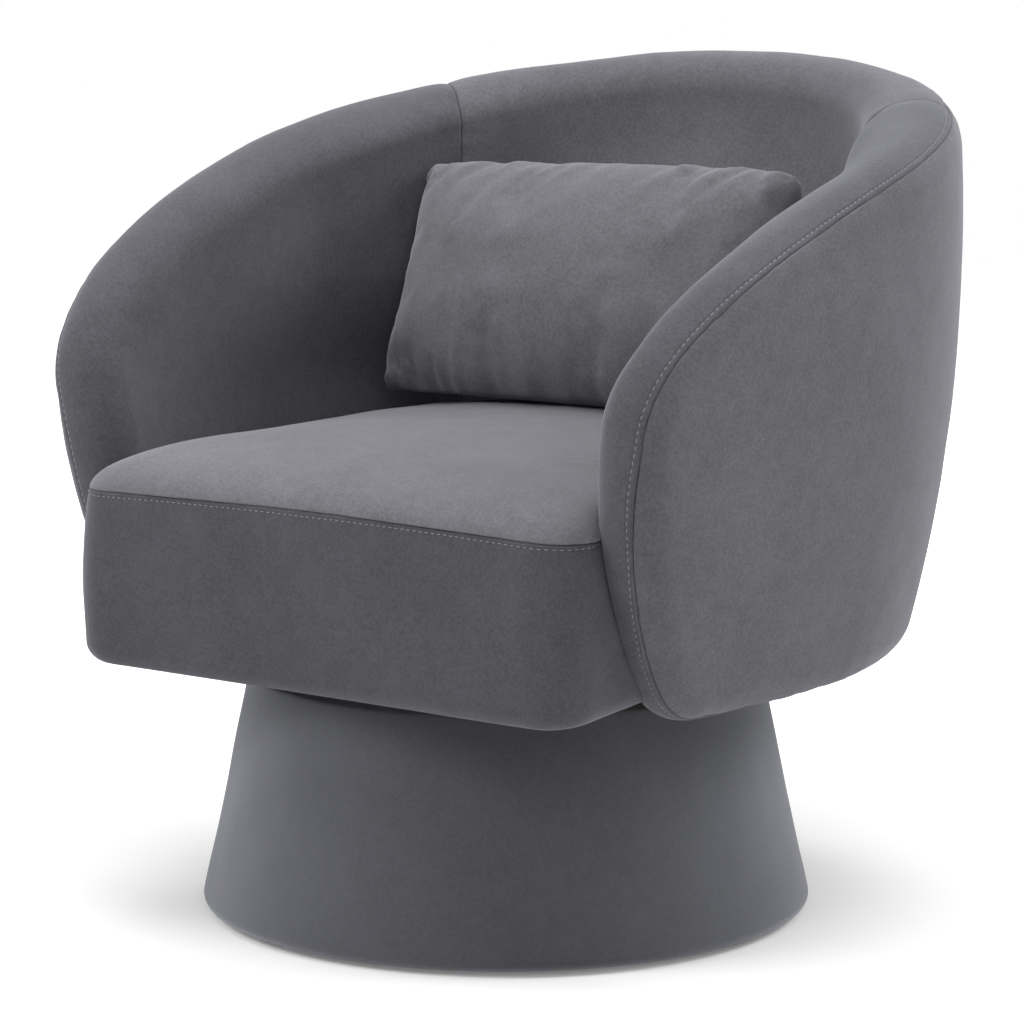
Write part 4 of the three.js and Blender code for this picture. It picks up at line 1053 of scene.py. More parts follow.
@dataclass
class ShellPanels:
    """The six velvet panels over the shell.

    Puckers are drawn out away from their seam: a stretch is the share that their place keeps.
    A panel is made of closed sections, one for each spoke. Each starts at the outer seam, goes
    round the half-round edge and down the face to the spoke's foot, and back beside the core.
    """

    shell: BarrelShell
    low_seam_angle: float = math.radians(35.7)
    high_seam_angle: float = math.radians(50.0)
    seam_heights: Pair = (0.40, 0.52)
    inside_seam: float = 0.314
    outside_seam: float = 0.250
    core_half: float = 0.006
    core_inset: float = 0.014
    core_columns: int = 8
    row_step: float = 0.0048
    inside_edge_columns: int = 22
    outside_edge_columns: int = 7
    face_columns: int = 52
    roll: float = 0.0019
    valley: StitchValley = StitchValley(0.0051, 0.0011, lip_gap=0.0028, lip_width=0.0014)
    inside_fill: float = 0.8
    outside_fill: float = 0.9
    edge_puckers: Waves = Waves(0.00045, 0.011, 0.012)
    side_puckers: Waves = Waves(0.0011, 0.010, 0.017)
    hang_waves: Waves = Waves(0.0003, 0.016, 0.07)
    edge_stretch: float = 0.5
    side_stretch: float = 0.35
    hang_stretch: float = 0.12
    side_pull: float = 0.0022
    side_pull_reach: float = 0.009

    def _seam_angle(self, spokes: Spokes) -> Array:
        """Angle round the edge at which the outer seam lies: further out up high than below."""
        share = smoothstep(*self.seam_heights, spokes.height)
        return (self.low_seam_angle
                + (self.high_seam_angle - self.low_seam_angle) * share)[:, None]

    def _relief(self, spokes: Spokes, base: Array, gap: Array,
                side_gap: Array, inside: bool, seed: int) -> Array:
        """How far the cover stands out from its plain form.

        It is the sum of long waves, puckers that fade away from each seam, the roll into both
        seams, and on an inside panel the valley of the topstitching.

        Args:
            spokes: The spokes that the sections stand on.
            base: Points of the plain form.
            gap: Distance of each point from the outer seam.
            side_gap: Distance of each section from the panel's upright seam.
            inside: Whether the panel is an inside one.
            seed: Which pattern of waves to use.

        Returns:
            Distances along the normal, for each point.
        """
        side = np.broadcast_to(side_gap[:, None], gap.shape)
        along = np.broadcast_to(spokes.along_edge[:, None], gap.shape)
        level = np.zeros_like(gap)
        edge_place = np.stack([along, gap * self.edge_stretch, level], axis=-1)
        side_place = np.stack([base[..., 2], side * self.side_stretch, level], axis=-1)
        relief = fabric_swell(base, seed)
        relief += self.edge_puckers.at(edge_place, seed + 2, gap)
        relief += self.side_puckers.at(side_place, seed + 3, side)
        relief -= self.side_pull * np.exp(-side / self.side_pull_reach)
        relief -= np.maximum(rolled_in(gap, self.roll), rolled_in(side, self.roll))
        return relief + self.valley.at(gap) if inside else relief

    def _skin(self, spokes: Spokes, side_gap: Array, inside: bool, seed: int) -> Array:
        """The part of each section that shows: round the edge to the inner or the outer face.

        The inner side is fuller by a share, and stands forward at the middle of the back. The
        relief moves each point along the plain form's normal, and an outside panel also has
        waves that hang from its lower edge.

        Args:
            spokes: The spokes that the sections stand on.
            side_gap: Distance of each section from the panel's upright seam.
            inside: Whether the panel is an inside one.
            seed: Which pattern of waves to use.

        Returns:
            Rows of points.
        """
        shell, radius = self.shell, self.shell.radius
        turn, lift = (-1.0, 0.0) if inside else (1.0, TOUCH_GAP)
        steps = SEAM_STEPS if inside else PLAIN_SEAM_STEPS
        columns = self.inside_edge_columns if inside else self.outside_edge_columns
        seam, slant = self._seam_angle(spokes), spokes.slant[:, None]
        length = spokes.length[:, None]
        arc = radius * (QUARTER - turn * seam)
        edge_gap = np.concatenate(
            [np.broadcast_to(steps, (len(seam), len(steps))),
             steps[-1] + (arc - steps[-1]) * np.linspace(0.0, 1.0, columns)[1:]], axis=1)
        angle = seam + turn * edge_gap / radius
        share = np.linspace(0.0, 1.0, self.face_columns)[1:]
        start = slant * radius + lift
        face = start + (length - start) * share
        inset = np.concatenate([slant * radius * (1.0 - np.cos(angle)) + lift, face], axis=1)
        gap = np.concatenate([edge_gap, arc + (length - radius) * share], axis=1)
        sine = np.concatenate([np.sin(angle), np.full_like(face, turn)], axis=1)
        cosine = np.concatenate([np.cos(angle), np.zeros_like(face)], axis=1)
        run, height = spokes.at(inset)
        inner = sine < 0.0
        offset = radius * sine * (1.0 + inner * shell.extra(run, height))
        offset -= shell.swell(run, height) * inner
        base, _ = shell.point(run, height, offset)
        relief = self._relief(spokes, base, gap, side_gap, inside, seed)
        if not inside:
            hang = np.stack([run, height * self.hang_stretch, np.zeros_like(run)], axis=-1)
            relief += self.hang_waves.at(hang, seed + 5, height - shell.bottom)
        run, height = spokes.at(inset - relief * cosine * slant)
        return shell.point(run, height, offset + relief * sine)[0]

    def _beside_core(self, spokes: Spokes, inside: bool) -> Array:
        """The hidden part of each section: from the foot up beside the core to the outer seam.

        An inside panel's section goes up on the core's inner side and over its top.

        Args:
            spokes: The spokes that the sections stand on.
            inside: Whether the panel is an inside one.

        Returns:
            Rows of points.
        """
        length, beside = spokes.length[:, None], self.core_half + TOUCH_GAP
        seam = spokes.slant[:, None] * self.shell.radius * (1.0 - np.cos(self._seam_angle(spokes)))
        if not inside:
            seam = seam + TOUCH_GAP
            columns = self.core_columns + 1
            inset = seam + (length - seam) * np.linspace(1.0, 0.0, columns)
            return self.shell.point(*spokes.at(inset), np.full(columns, beside))[0]
        over = np.full_like(seam, self.core_inset - TOUCH_GAP)
        rise = over + (length - over) * np.linspace(0.0, 1.0, self.core_columns)[::-1]
        offset = np.repeat([-beside, beside], [self.core_columns, 2])
        return self.shell.point(*spokes.at(np.concatenate([rise, over, seam], axis=1)), offset)[0]

    def _stitch_line(self, skin: Array) -> Array:
        """Points of the topstitching on an inside panel, and the outward directions at them."""
        column = int(np.argmin(np.abs(SEAM_STEPS - self.valley.gap)))
        across = unit(skin[:, column + 1] - skin[:, column - 1])
        out = skin[:, column] - skin[:, -1]
        out -= across * np.einsum("ij,ij->i", out, across)[:, None]
        return np.stack([skin[:, column], unit(out)])

    def _closed(self, name: str, strips: list[tuple[Array, Array]]) -> Item:
        """Joins strips of sections into one closed panel, its ends filled in.

        Args:
            name: Name of the panel.
            strips: The sections' skins and hidden parts; the first and last sections of the
                panel are its ends.

        Returns:
            The panel.
        """
        points, faces, first = [], [], 0
        for skin, hidden in strips:
            strip = np.concatenate([skin, hidden], axis=1)
            rows, columns, _ = strip.shape
            numbers = first + np.arange(rows * columns).reshape(rows, columns)
            faces.append(grid_faces(rows, columns, first, closed=True))
            for row, turn in ((numbers[0], 1), (numbers[-1], -1)):
                front = skin.shape[1]
                behind = np.concatenate([row[front:], row[:1]])[::-1]
                faces.append(zipped_faces(row[:front], behind)[:, ::turn])
            points.append(strip.reshape(-1, 3))
            first += rows * columns
        return new_mesh(name, np.concatenate(points), np.concatenate(faces))

    def _panel(self, place: str, inside: bool, strips: list[tuple[Array, Array]],
               velvet: Finish) -> Item:
        """Makes a panel from its strips, and settles it on the seat's body."""
        node = f"{'inside' if inside else 'outside'}_{place}"
        item = self._closed(f"velvet_{node}", strips)
        settle(item, "seat", node, velvet)
        return item

    def _arm_rows(self, seam: float) -> tuple[Array, Array, Array]:
        """Places of an arm panel's sections: along the rim, round the front and back underneath.

        Args:
            seam: Run of the panel's upright seam.

        Returns:
            Distances along the edge, exact runs, and distances from the upright seam.
        """
        (rim_run, rim_along), (under_run, under_along) = self.shell.halves()
        start = seam + TOUCH_GAP / 2.0
        near = start + PLAIN_SEAM_STEPS[::2]
        reach = np.interp([near[-1], self.shell.ridge_run], rim_run, rim_along)
        even = spaced(float(reach[0]), float(reach[1]), self.row_step)
        runs = np.concatenate([near, np.interp(even, rim_along, rim_run)[1:]])
        rim = np.interp(runs, rim_run, rim_along)
        under = np.interp(runs, under_run, under_along)
        cap = spaced(float(rim[-1]), float(under[-1]), self.row_step)[1:-1]
        table = self.shell.edge_table
        cap_runs = np.maximum(np.interp(cap, table[:, 0], table[:, 1]), self.shell.ridge_run)
        all_runs = np.concatenate([runs, cap_runs, runs[::-1]])
        return np.concatenate([rim, cap, under[::-1]]), all_runs, all_runs - start

    def arm(self, side: Side, inside: bool, velvet: Finish, seed: int) -> tuple[Item, Array]:
        """Builds an arm's inside or outside panel.

        Args:
            side: Which arm.
            inside: Whether it is the inside panel, which wraps over the rim.
            velvet: The panel's finish.
            seed: Which pattern of waves to use.

        Returns:
            The panel, and the line that its topstitching would follow.
        """
        along, runs, gap = self._arm_rows(self.inside_seam if inside else self.outside_seam)
        spokes = self.shell.spokes(along, side.value, runs)
        skin = self._skin(spokes, gap, inside, seed)
        strips = [(skin, self._beside_core(spokes, inside))]
        place = f"arm_{side.name.lower()}"
        return self._panel(place, inside, strips, velvet), self._stitch_line(skin)

    def back(self, inside: bool, velvet: Finish, seed: int) -> tuple[Item, list[Array]]:
        """Builds the inside or outside back panel, between its two upright seams.

        Its rim and its underside are two strips, which meet at the ridge.

        Args:
            inside: Whether it is the inside panel, which wraps over the rim.
            velvet: The panel's finish.
            seed: Which pattern of waves to use.

        Returns:
            The panel, and the two lines that its topstitching would follow.
        """
        end = (self.inside_seam if inside else self.outside_seam) - TOUCH_GAP / 2.0
        near = end - PLAIN_SEAM_STEPS[::2]
        half = np.concatenate([near, spaced(float(near[-1]), 0.0, self.row_step)[1:]])
        runs = np.concatenate([-half, half[::-1][1:]])
        turn = np.where(runs < 0.0, -1.0, 1.0)
        strips, lines = [], []
        for (table_run, table_along), order in zip(self.shell.halves(), (1, -1)):
            along = np.interp(np.abs(runs), table_run, table_along)
            spokes = self.shell.spokes(along, turn, np.abs(runs))
            spokes.along_edge = along * turn
            skin = self._skin(spokes, end - np.abs(runs), inside, seed)
            strips.append((skin[::order], self._beside_core(spokes, inside)[::order]))
            lines.append(self._stitch_line(skin))
        return self._panel("back", inside, strips, velvet), lines


# Seat


def cornered_plan(half_width: float, end: float, radius: float, side: Array,
                  turn: Array, across: Array) -> tuple[Array, Array]:
    """Right half of a plan: a straight side, a quarter circle, and a straight end.

    Args:
        half_width: Half the width between the sides.
        end: Depth of the end.
        radius: Radius of the corner.
        side: Depths of the side's points.
        turn: Turns of the corner's points, from the side.
        across: Distances of the end's points from the centre line.

    Returns:
        Points and outward directions in plan.
    """
    way = math.copysign(1.0, end - side[0])
    x = np.concatenate([np.full_like(side, half_width),
                        half_width - radius + radius * np.cos(turn), across])
    y = np.concatenate([side, end - way * radius * (1.0 - np.sin(turn)),
                        np.full_like(across, end)])
    out_x = np.concatenate([np.ones_like(side), np.cos(turn), np.zeros_like(across)])
    out_y = np.concatenate([np.zeros_like(side), way * np.sin(turn),
                            np.full_like(across, way)])
    return np.stack([x, y], axis=-1), np.stack([out_x, out_y], axis=-1)


@dataclass
class SeatNose:
    """The velvet border of the seat's nose: front, sides and a wrap under the seat board.

    The board's underside, the rails' top and the box's back are those of the CAD seat box.
    """

    half_width: float = 0.277
    front: float = -0.283
    back: float = -0.108
    corner_radius: float = 0.045
    bottom: float = 0.231
    bottom_rise: float = 0.015
    rise_run: float = 0.193
    bottom_radius: float = 0.020
    side_bulge: float = 0.0035
    top_lean: float = 0.004
    seam_height: float = 0.391
    seam_drop: float = 0.0055
    thickness: float = 0.025
    board_bottom: float = 0.2413
    rail_top: float = 0.3396
    box_back: float = 0.0923
    step: float = 0.0042
    edge_rows: int = 9
    cap_shares: tuple[float, ...] = (0.94, 0.86, 0.6, 0.3, 0.0)
    roll: float = 0.0018
    valley: StitchValley = StitchValley(0.0043, 0.0010, lip_gap=0.0022, lip_width=0.0012)
    stitch_end: float = -0.226
    puckers: Waves = Waves(0.0006, 0.012, 0.014)
    pucker_stretch: float = 0.5
    seed: int = 61
    fill: float = 0.9

    @property
    def box_half_width(self) -> float:
        """Half the width of the seat box inside the border."""
        return self.half_width - self.thickness

    def seam(self, x: Array) -> Array:
        """Height of the seam under the cushion: it falls by the square of x."""
        return self.seam_height - self.seam_drop * (x / self.half_width) ** 2

    def underside(self, y: Array) -> Array:
        """Height of the underside: level in front, then a straight slope up."""
        share = (y - self.front - self.bottom_radius) / self.rise_run
        return self.bottom + self.bottom_rise * np.clip(share, 0.0, 1.0)

    def outline(self) -> tuple[Array, Array]:
        """Plan from the right back end round to the left: a side, a quarter circle and the front.

        Returns:
            Points and outward directions in plan.
        """
        radius = self.corner_radius
        side = spaced(self.back, self.front + radius, self.step)[:-1]
        turn = spaced(0.0, QUARTER, self.step / radius)[:-1]
        across = spaced(self.half_width - radius, 0.0, self.step)
        plan, out = cornered_plan(self.half_width, self.front, radius, side, turn, across)
        return mirrored(plan), mirrored(out)

    def _capped(self, rows: Array, height: Callable[[Array], Array]) -> Array:
        """Adds rings that close a stack of loops at its last row, down to a point."""
        shares = np.array(self.cap_shares)[:, None, None]
        centre = np.array([0.0, (self.front + self.back) / 2.0])
        flat = centre + (rows[-1][None, :, :2] - centre) * shares
        rings = np.concatenate([flat, height(flat)[..., None]], axis=-1)
        return np.concatenate([rows, rings])

    def _relief(self, rows: Array, gap: Array) -> Array:
        """How far the cover stands out: waves, puckers, the roll into the seam, the stitches.

        Args:
            rows: Points of the plain form.
            gap: Distance of each row from the seam.

        Returns:
            Distances outwards, for each point.
        """
        run = np.arange(rows.shape[1])[None] * self.step
        seam_place = np.stack(np.broadcast_arrays(run, gap * self.pucker_stretch, 0.0), axis=-1)
        relief = fabric_swell(rows, self.seed) + self.puckers.at(seam_place, self.seed + 2, gap)
        return relief - rolled_in(gap, self.roll) + self.valley.at(gap)

    def body(self, name: str, grow: float = 0.0, padded: bool = False) -> tuple[Item, Array]:
        """Builds the whole nose block: a round bottom edge, then sides that bulge by a sine.

        Args:
            name: Name of the piece.
            grow: How far to grow it, where it is to cut its neighbours.
            padded: Whether to give it a cover's relief.

        Returns:
            The block, and its stitch line's points and directions.
        """
        plan, out = self.outline()
        turn = np.linspace(0.0, QUARTER, self.edge_rows)[:, None]
        edge_inset = self.bottom_radius * (1.0 - np.sin(turn)) - grow
        edge_rise = self.bottom_radius * (1.0 - np.cos(turn)) - grow
        tall = self.seam_height - self.bottom - self.bottom_radius
        even = spaced(float(SEAM_STEPS[-1]), tall, self.step)[1:]
        gap = np.concatenate([SEAM_STEPS, even])[::-1][1:, None]
        share = 1.0 - gap / tall
        side_inset = self.top_lean * share - self.side_bulge * np.sin(math.pi * share) - grow
        inset = np.repeat(np.concatenate([edge_inset, side_inset]), len(plan), axis=1)
        place = plan[None] - out[None] * inset[..., None]
        place[:, [0, -1], 1] += grow
        low = self.underside(place[..., 1])
        foot = low[: self.edge_rows] + edge_rise
        start = low[self.edge_rows:] + self.bottom_radius
        side = start + (self.seam(place[self.edge_rows:, :, 0]) + grow - start) * share
        rows = np.concatenate([place, np.concatenate([foot, side])[..., None]], axis=-1)
        if padded:
            full_gap = np.concatenate([np.full_like(turn, tall), gap])
            rows[..., :2] += out[None] * self._relief(rows, full_gap)[..., None]
        row = rows[self.edge_rows + int(np.argmin(np.abs(gap - self.valley.gap)))]
        keep = row[:, 1] < self.stitch_end
        upright = np.column_stack([out, np.zeros(len(out))])
        line = np.stack([row[keep], upright[keep]])
        rows = self._capped(rows, lambda p: self.seam(p[..., 0]) + grow)
        rows = self._capped(rows[::-1], lambda p: self.underside(p[..., 1]) - grow)
        faces = grid_faces(rows.shape[0], rows.shape[1], closed=True)
        return new_mesh(name, rows.reshape(-1, 3), faces), line

    def hollow(self, name: str, margin: float, top: float, back: float) -> Item:
        """Builds the box inside the border, for cutting.

        Args:
            name: Name of the box.
            margin: How far the box reaches below the seat board.
            top: Height of its top.
            back: Depth of its back.

        Returns:
            The box.
        """
        low = np.array([-self.box_half_width, self.front + self.thickness,
                        self.board_bottom - margin])
        high = np.array([self.box_half_width, back, top])
        return block(name, low, high)

    def build(self, velvet: Finish, thread: Finish) -> None:
        """Builds the border with its topstitching."""
        item, line = self.body("velvet_seat_border", padded=True)
        hollow = self.hollow("hollow", 1.5 * TOUCH_GAP, self.seam_height + CUT_MARGIN,
                             self.back + CUT_MARGIN)
        carve(item, hollow)
        discard(hollow)
        settle(item, "seat", "seat_border", velvet)
        sew("stitches_seat_border", line, thread)


@dataclass
class SeatCushion:
    """The crowned seat cushion, which fills the space inside the barrel and over the nose."""

    nose: SeatNose
    shell: BarrelShell
    back: float = 0.330
    back_radius: float = 0.210
    crown: float = 0.0485
    crown_power: float = 3.7
    shoulder_power: float = 0.51
    plug_depth: float = 0.0092
    clearance: float = 0.0027
    step: float = 0.0048
    ring_step: float = 0.0056
    roll: float = 0.0014
    dents: tuple[Waves, ...] = (Waves(0.0022, 0.12), Waves(0.0010, 0.055))
    dimples: Waves = Waves(0.0011, 0.030)
    dimple_gap: float = 0.020
    dimple_width: float = 0.018
    puckers: Waves = Waves(0.0005, 0.012, 0.012)
    pucker_stretch: float = 0.45
    smooth_share: float = 0.25
    plug_shares: tuple[float, ...] = (0.0, 0.25, 0.5, 0.75, 1.0)
    limit_heights: Pair = (0.375, 0.450)
    limit_rows: int = 31
    samples: int = 6001
    seed: int = 41
    fill: float = 0.85

    @property
    def centre_y(self) -> float:
        """Depth of the cushion's middle."""
        return (self.nose.front + self.back) / 2.0

    def outline(self) -> tuple[Array, Array]:
        """Plan of the nose's front, straight sides, round back corners and a straight back.

        Returns:
            Points and outward directions, the last repeating the first.
        """
        nose, radius = self.nose, self.back_radius
        front, front_out = (line[len(line) // 2:] for line in nose.outline())
        side = spaced(nose.back, self.back - radius, self.step)[1:-1]
        turn = spaced(0.0, QUARTER, self.step / radius)
        across = spaced(nose.half_width - radius, 0.0, self.step)[1:]
        plan, out = cornered_plan(nose.half_width, self.back, radius, side, turn, across)
        return (mirrored(np.concatenate([front, plan * MIRROR])),
                mirrored(np.concatenate([front_out, out * MIRROR])))

    def _profile(self) -> tuple[Array, Array]:
        """Shares of the way out at which the rings stand, and their distances from the seam."""
        share = np.linspace(1.0, 0.0, self.samples)
        reach = (self.back - self.nose.front) / 2.0 * share
        length = travelled(np.column_stack([reach, self._rise(share)]))
        even = spaced(float(SEAM_STEPS[-1]), float(length[-1]), self.ring_step)[1:]
        gap = np.concatenate([SEAM_STEPS, even])
        return np.interp(gap, length, share), gap

    def _rise(self, share: Array) -> Array:
        """Rise over the seam: the crown times a power of one less a power of the share out."""
        return self.crown * (1.0 - share**self.crown_power) ** self.shoulder_power

    def _clear(self, rows: Array) -> Array:
        """Draws points in until they stand clear of the shell's inner face.

        Args:
            rows: Points of the cushion.

        Returns:
            The points, each drawn towards the middle where it would reach past the shell.
        """
        heights = np.linspace(*self.limit_heights, self.limit_rows)
        turns, table = self.shell.inner_limit(self.centre_y, heights)
        x, y = rows[..., 0], rows[..., 1] - self.centre_y
        level = (rows[..., 2] - heights[0]) / (heights[1] - heights[0])
        place = (np.arctan2(x, y) - turns[0]) / (turns[1] - turns[0])
        limit = between_entries(table, level, place) - self.clearance
        scale = np.minimum(1.0, limit / np.clip(np.hypot(x, y), 1e-6, None))
        return np.stack([x * scale, self.centre_y + y * scale, rows[..., 2]], axis=-1)

    def _relief(self, top: Array, plan: Array, gap: Array) -> Array:
        """How far the top stands out: long dents, dimples and puckers near the seam, and the roll.

        Args:
            top: Points of the plain top.
            plan: Plan of the seam.
            gap: Distance of each ring from the seam.

        Returns:
            Distances along the normal, for each point.
        """
        seam_place = np.stack(np.broadcast_arrays(*plan.T, gap * self.pucker_stretch), axis=-1)
        relief = sum(waves.at(top, self.seed + i) for i, waves in enumerate(self.dents))
        near = bell(gap, self.dimple_gap, self.dimple_width)
        relief += self.dimples.at(seam_place, self.seed + 2) * near
        relief += self.puckers.at(seam_place, self.seed + 3, gap)
        return relief - rolled_in(gap, self.roll)

    def build(self, velvet: Finish) -> None:
        """Builds the cushion: a crown over a plug that sits inside the nose's border."""
        nose = self.nose
        plan, out = self.outline()
        share, gap = (values[:, None] for values in self._profile())
        centre = np.array([0.0, self.centre_y])
        flat = centre + (plan - out * nose.top_lean - centre)[None] * share[..., None]
        level = nose.seam(flat[..., 0]) + TOUCH_GAP + self._rise(share)
        top = np.concatenate([flat, level[..., None]], axis=-1)
        normal = grid_normals(top)
        normal *= math.copysign(1.0, normal[..., 2].mean())
        relief = self._relief(top, plan, gap) * smoothstep(0.0, self.smooth_share, share)
        top = top + normal * relief[..., None]
        edge = plan - out * (nose.thickness + TOUCH_GAP)
        ledge = np.column_stack([edge, nose.seam(edge[:, 0]) + TOUCH_GAP])[None]
        shares = np.array(self.plug_shares)[:, None, None]
        under = centre + (edge - centre)[None] * shares
        foot = np.full((*under.shape[:2], 1), nose.seam_height - self.plug_depth)
        rows = self._clear(np.concatenate([np.concatenate([under, foot], axis=-1), ledge, top]))
        faces = grid_faces(rows.shape[0], rows.shape[1])
        item = new_mesh("velvet_seat_cushion", rows.reshape(-1, 3), faces)
        settle(item, "seat", "seat_cushion", velvet)


# Pillow


@dataclass
class LumbarPillow:
    """The loose lumbar pillow: a knife-edged case, filled until its seams gather."""

    half_width: float = 0.2145
    height: float = 0.236
    thickness: float = 0.140
    tilt: float = math.radians(21.5)
    roll: float = math.radians(1.2)
    centre: Triple = (-0.0290, 0.1612, 0.5475)
    end_pull: float = 0.03
    side_pull: float = 0.004
    fullness: Pair = (0.50, 0.42)
    corner_pull: float = 0.05
    corner_power: int = 8
    case: Pair = (0.446, 0.268)
    case_lift: float = 0.004
    case_bow: float = 0.02
    cell: float = 0.0060
    frames: int = 30
    cloth: tuple[tuple[str, float], ...] = (
        ("quality", 6), ("mass", 0.25), ("air_damping", 4.0), ("tension_stiffness", 20.0),
        ("compression_stiffness", 20.0), ("shear_stiffness", 5.0), ("bending_stiffness", 0.03),
        ("uniform_pressure_force", 9.0), ("shrink_max", 0.10))
    detail: Triple = (0.16, 0.16, 1.05)
    detail_cells: float = 4.0
    rest_height: float = 0.4412
    rest_softness: float = 0.0012
    creases: Waves = Waves(0.0085, 0.010, 0.022)
    crease_start: float = 0.004
    top_slant: float = 0.75
    foot_slant: float = 0.12
    crease_stretch: float = 0.12
    panels_apart: float = 4.0
    end_power: int = 12
    seed: int = 61
    fill: float = 0.7

    def _axes(self) -> Array:
        """The pillow's own directions: across, up and forward, leaning back."""
        sine, cosine = math.sin(self.tilt), math.cos(self.tilt)
        upright = np.array([[1.0, 0.0, 0.0], [0.0, sine, cosine], [0.0, -cosine, sine]])
        turn, keep = math.sin(self.roll), math.cos(self.roll)
        return np.array([[keep, turn, 0.0], [-turn, keep, 0.0], [0.0, 0.0, 1.0]]) @ upright

    def _plain(self, u: Array, v: Array, side: float) -> Array:
        """Plain pillow form in its own directions.

        Its sides pull in between the corners, and its half thickness is a power of the product
        of one less u squared and one less v squared.

        Args:
            u: Shares across, from -1 to 1.
            v: Shares up, from -1 to 1.
            side: 1 for the front and -1 for the back.

        Returns:
            Points as across, up and forward.
        """
        full = (1.0 - u * u) ** self.fullness[0] * (1.0 - v * v) ** self.fullness[1]
        pull = 1.0 - self.corner_pull * (u * v) ** self.corner_power
        x = self.half_width * u * (1.0 - self.end_pull * (1.0 - v * v)) * pull
        z = self.height / 2.0 * v * (1.0 - self.side_pull * (1.0 - u * u)) * pull
        y = side * self.thickness * full / 2.0
        return np.stack([x, z, y], axis=-1)

    def _shares(self) -> tuple[Array, Array]:
        """Grid of shares across and up, one cell apart on the flat case."""
        u, v = (np.linspace(-1.0, 1.0, int(round(size / self.cell)) + 1) for size in self.case)
        return np.meshgrid(u, v)

    def _faces(self) -> Array:
        """Faces of the front panel and of the back panel, numbered one after the other."""
        rows, columns = self._shares()[0].shape
        faces = grid_faces(rows, columns)
        return np.concatenate([faces[:, ::-1], faces + rows * columns])

    def _case(self) -> Array:
        """Two flat panels that are a little apart, and share their edges.

        Returns:
            Points of the front and of the back, as two grids.
        """
        u, v = self._shares()
        lift = self.case_lift * ((1.0 - u**2) * (1.0 - v**2)) ** 0.5
        x = self.case[0] / 2.0 * u * (1.0 + self.case_bow * (1.0 - v**2))
        z = self.case[1] / 2.0 * v * (1.0 + self.case_bow * (1.0 - u**2))
        return np.stack([np.stack([x, z, lift], axis=-1), np.stack([x, z, -lift], axis=-1)])

    def _filled(self, case: Array) -> Array:
        """Fills the case by simulation: pressure inside, seam drawn up, no gravity.

        Args:
            case: Points of the flat case.

        Returns:
            The points after filling, in the same order.
        """
        flat = case.reshape(-1, 3)
        item = new_mesh("pillow_case", flat, self._faces())
        start = read_points(item.data)
        seam = item.vertex_groups.new(name="seam")
        seam.add(np.flatnonzero(np.abs(start[:, 2]) < 1e-6).tolist(), 1.0, "REPLACE")
        cloth = item.modifiers.new("cloth", "CLOTH")
        cloth.settings.use_pressure = True
        cloth.settings.vertex_group_shrink = "seam"
        cloth.settings.effector_weights.gravity = 0.0
        for key, value in self.cloth:
            setattr(cloth.settings, key, value)
        cloth.point_cache.frame_start, cloth.point_cache.frame_end = 1, self.frames
        scene = bpy.context.scene
        for number in range(1, self.frames + 1):
            scene.frame_set(number)
        apply_modifiers(item)
        end = read_points(item.data)
        scene.frame_set(1)
        discard(item)
        keys = np.round(np.concatenate([start, flat]), 5)
        _, inverse = np.unique(keys, axis=0, return_inverse=True)
        inverse = inverse.reshape(-1)
        found = np.zeros(inverse.max() + 1, dtype=int)
        found[inverse[: len(start)]] = np.arange(len(start))
        return end[found[inverse[len(start):]]].reshape(case.shape)

    def _shape(self) -> Array:
        """The plain form, with the folds and gathers of the filled case laid over it.

        The folds are what a blur takes away from the filled case.

        Returns:
            Points of the front and of the back in the pillow's own directions.
        """
        u, v = (0.5 * share + 0.5 * np.sin(QUARTER * share) for share in self._shares())
        plain = np.stack([self._plain(u, v, 1.0), self._plain(u, v, -1.0)])
        filled = self._filled(self._case())
        folds = filled - np.stack([blurred(side, self.detail_cells) for side in filled])
        return plain + np.array(self.detail) * folds + self._creases(plain)

    def _creases(self, plain: Array) -> Array:
        """Fine gathers beside the two long seams, slanted at the top and upright at the foot.

        They are waves drawn out along the gathers, which start at the seam and fade away from it.

        Args:
            plain: Points of the front and of the back of the plain form.

        Returns:
            Moves along the pillow's thickness, shaped like the points.
        """
        x, z = plain[..., 0], plain[..., 1]
        slant = np.where(z > 0.0, self.top_slant, self.foot_slant)
        panel = self.panels_apart * np.sign(plain[..., 2])
        place = np.stack([x - slant * z, self.crease_stretch * z, panel], axis=-1)
        gap = np.clip(self.height / 2.0 - np.abs(z), 0.0, None)
        ends = np.clip(1.0 - (np.abs(x) / self.half_width) ** self.end_power, 0.0, 1.0)
        moves = np.zeros_like(plain)
        moves[..., 2] = (self.creases.at(place, self.seed, gap)
                         * (1.0 - np.exp(-gap / self.crease_start)) * ends)
        return moves

    def _placed(self, points: Array) -> Array:
        """Leans the pillow in its place, and flattens it softly where it rests on the cushion.

        A height h over the cushion becomes half of h plus the root of h squared and a softness
        squared.

        Args:
            points: Points in the pillow's own directions.

        Returns:
            Points in the row frame.
        """
        placed = points.reshape(-1, 3) @ self._axes() + np.array(self.centre)
        over = placed[:, 2] - self.rest_height
        placed[:, 2] = self.rest_height + (over + np.hypot(over, self.rest_softness)) / 2.0
        return placed

    def build(self, velvet: Finish) -> None:
        """Builds the pillow, and rests it on the cushion clear of the back."""
        item = new_mesh("velvet_lumbar_pillow", self._placed(self._shape()), self._faces())
        smooth = item.modifiers.new("smooth", "SUBSURF")
        smooth.levels = smooth.render_levels = 1
        apply_modifiers(item)
        item.data.shade_smooth()
        settle(item, "pillow", "lumbar_pillow", velvet)


# Base


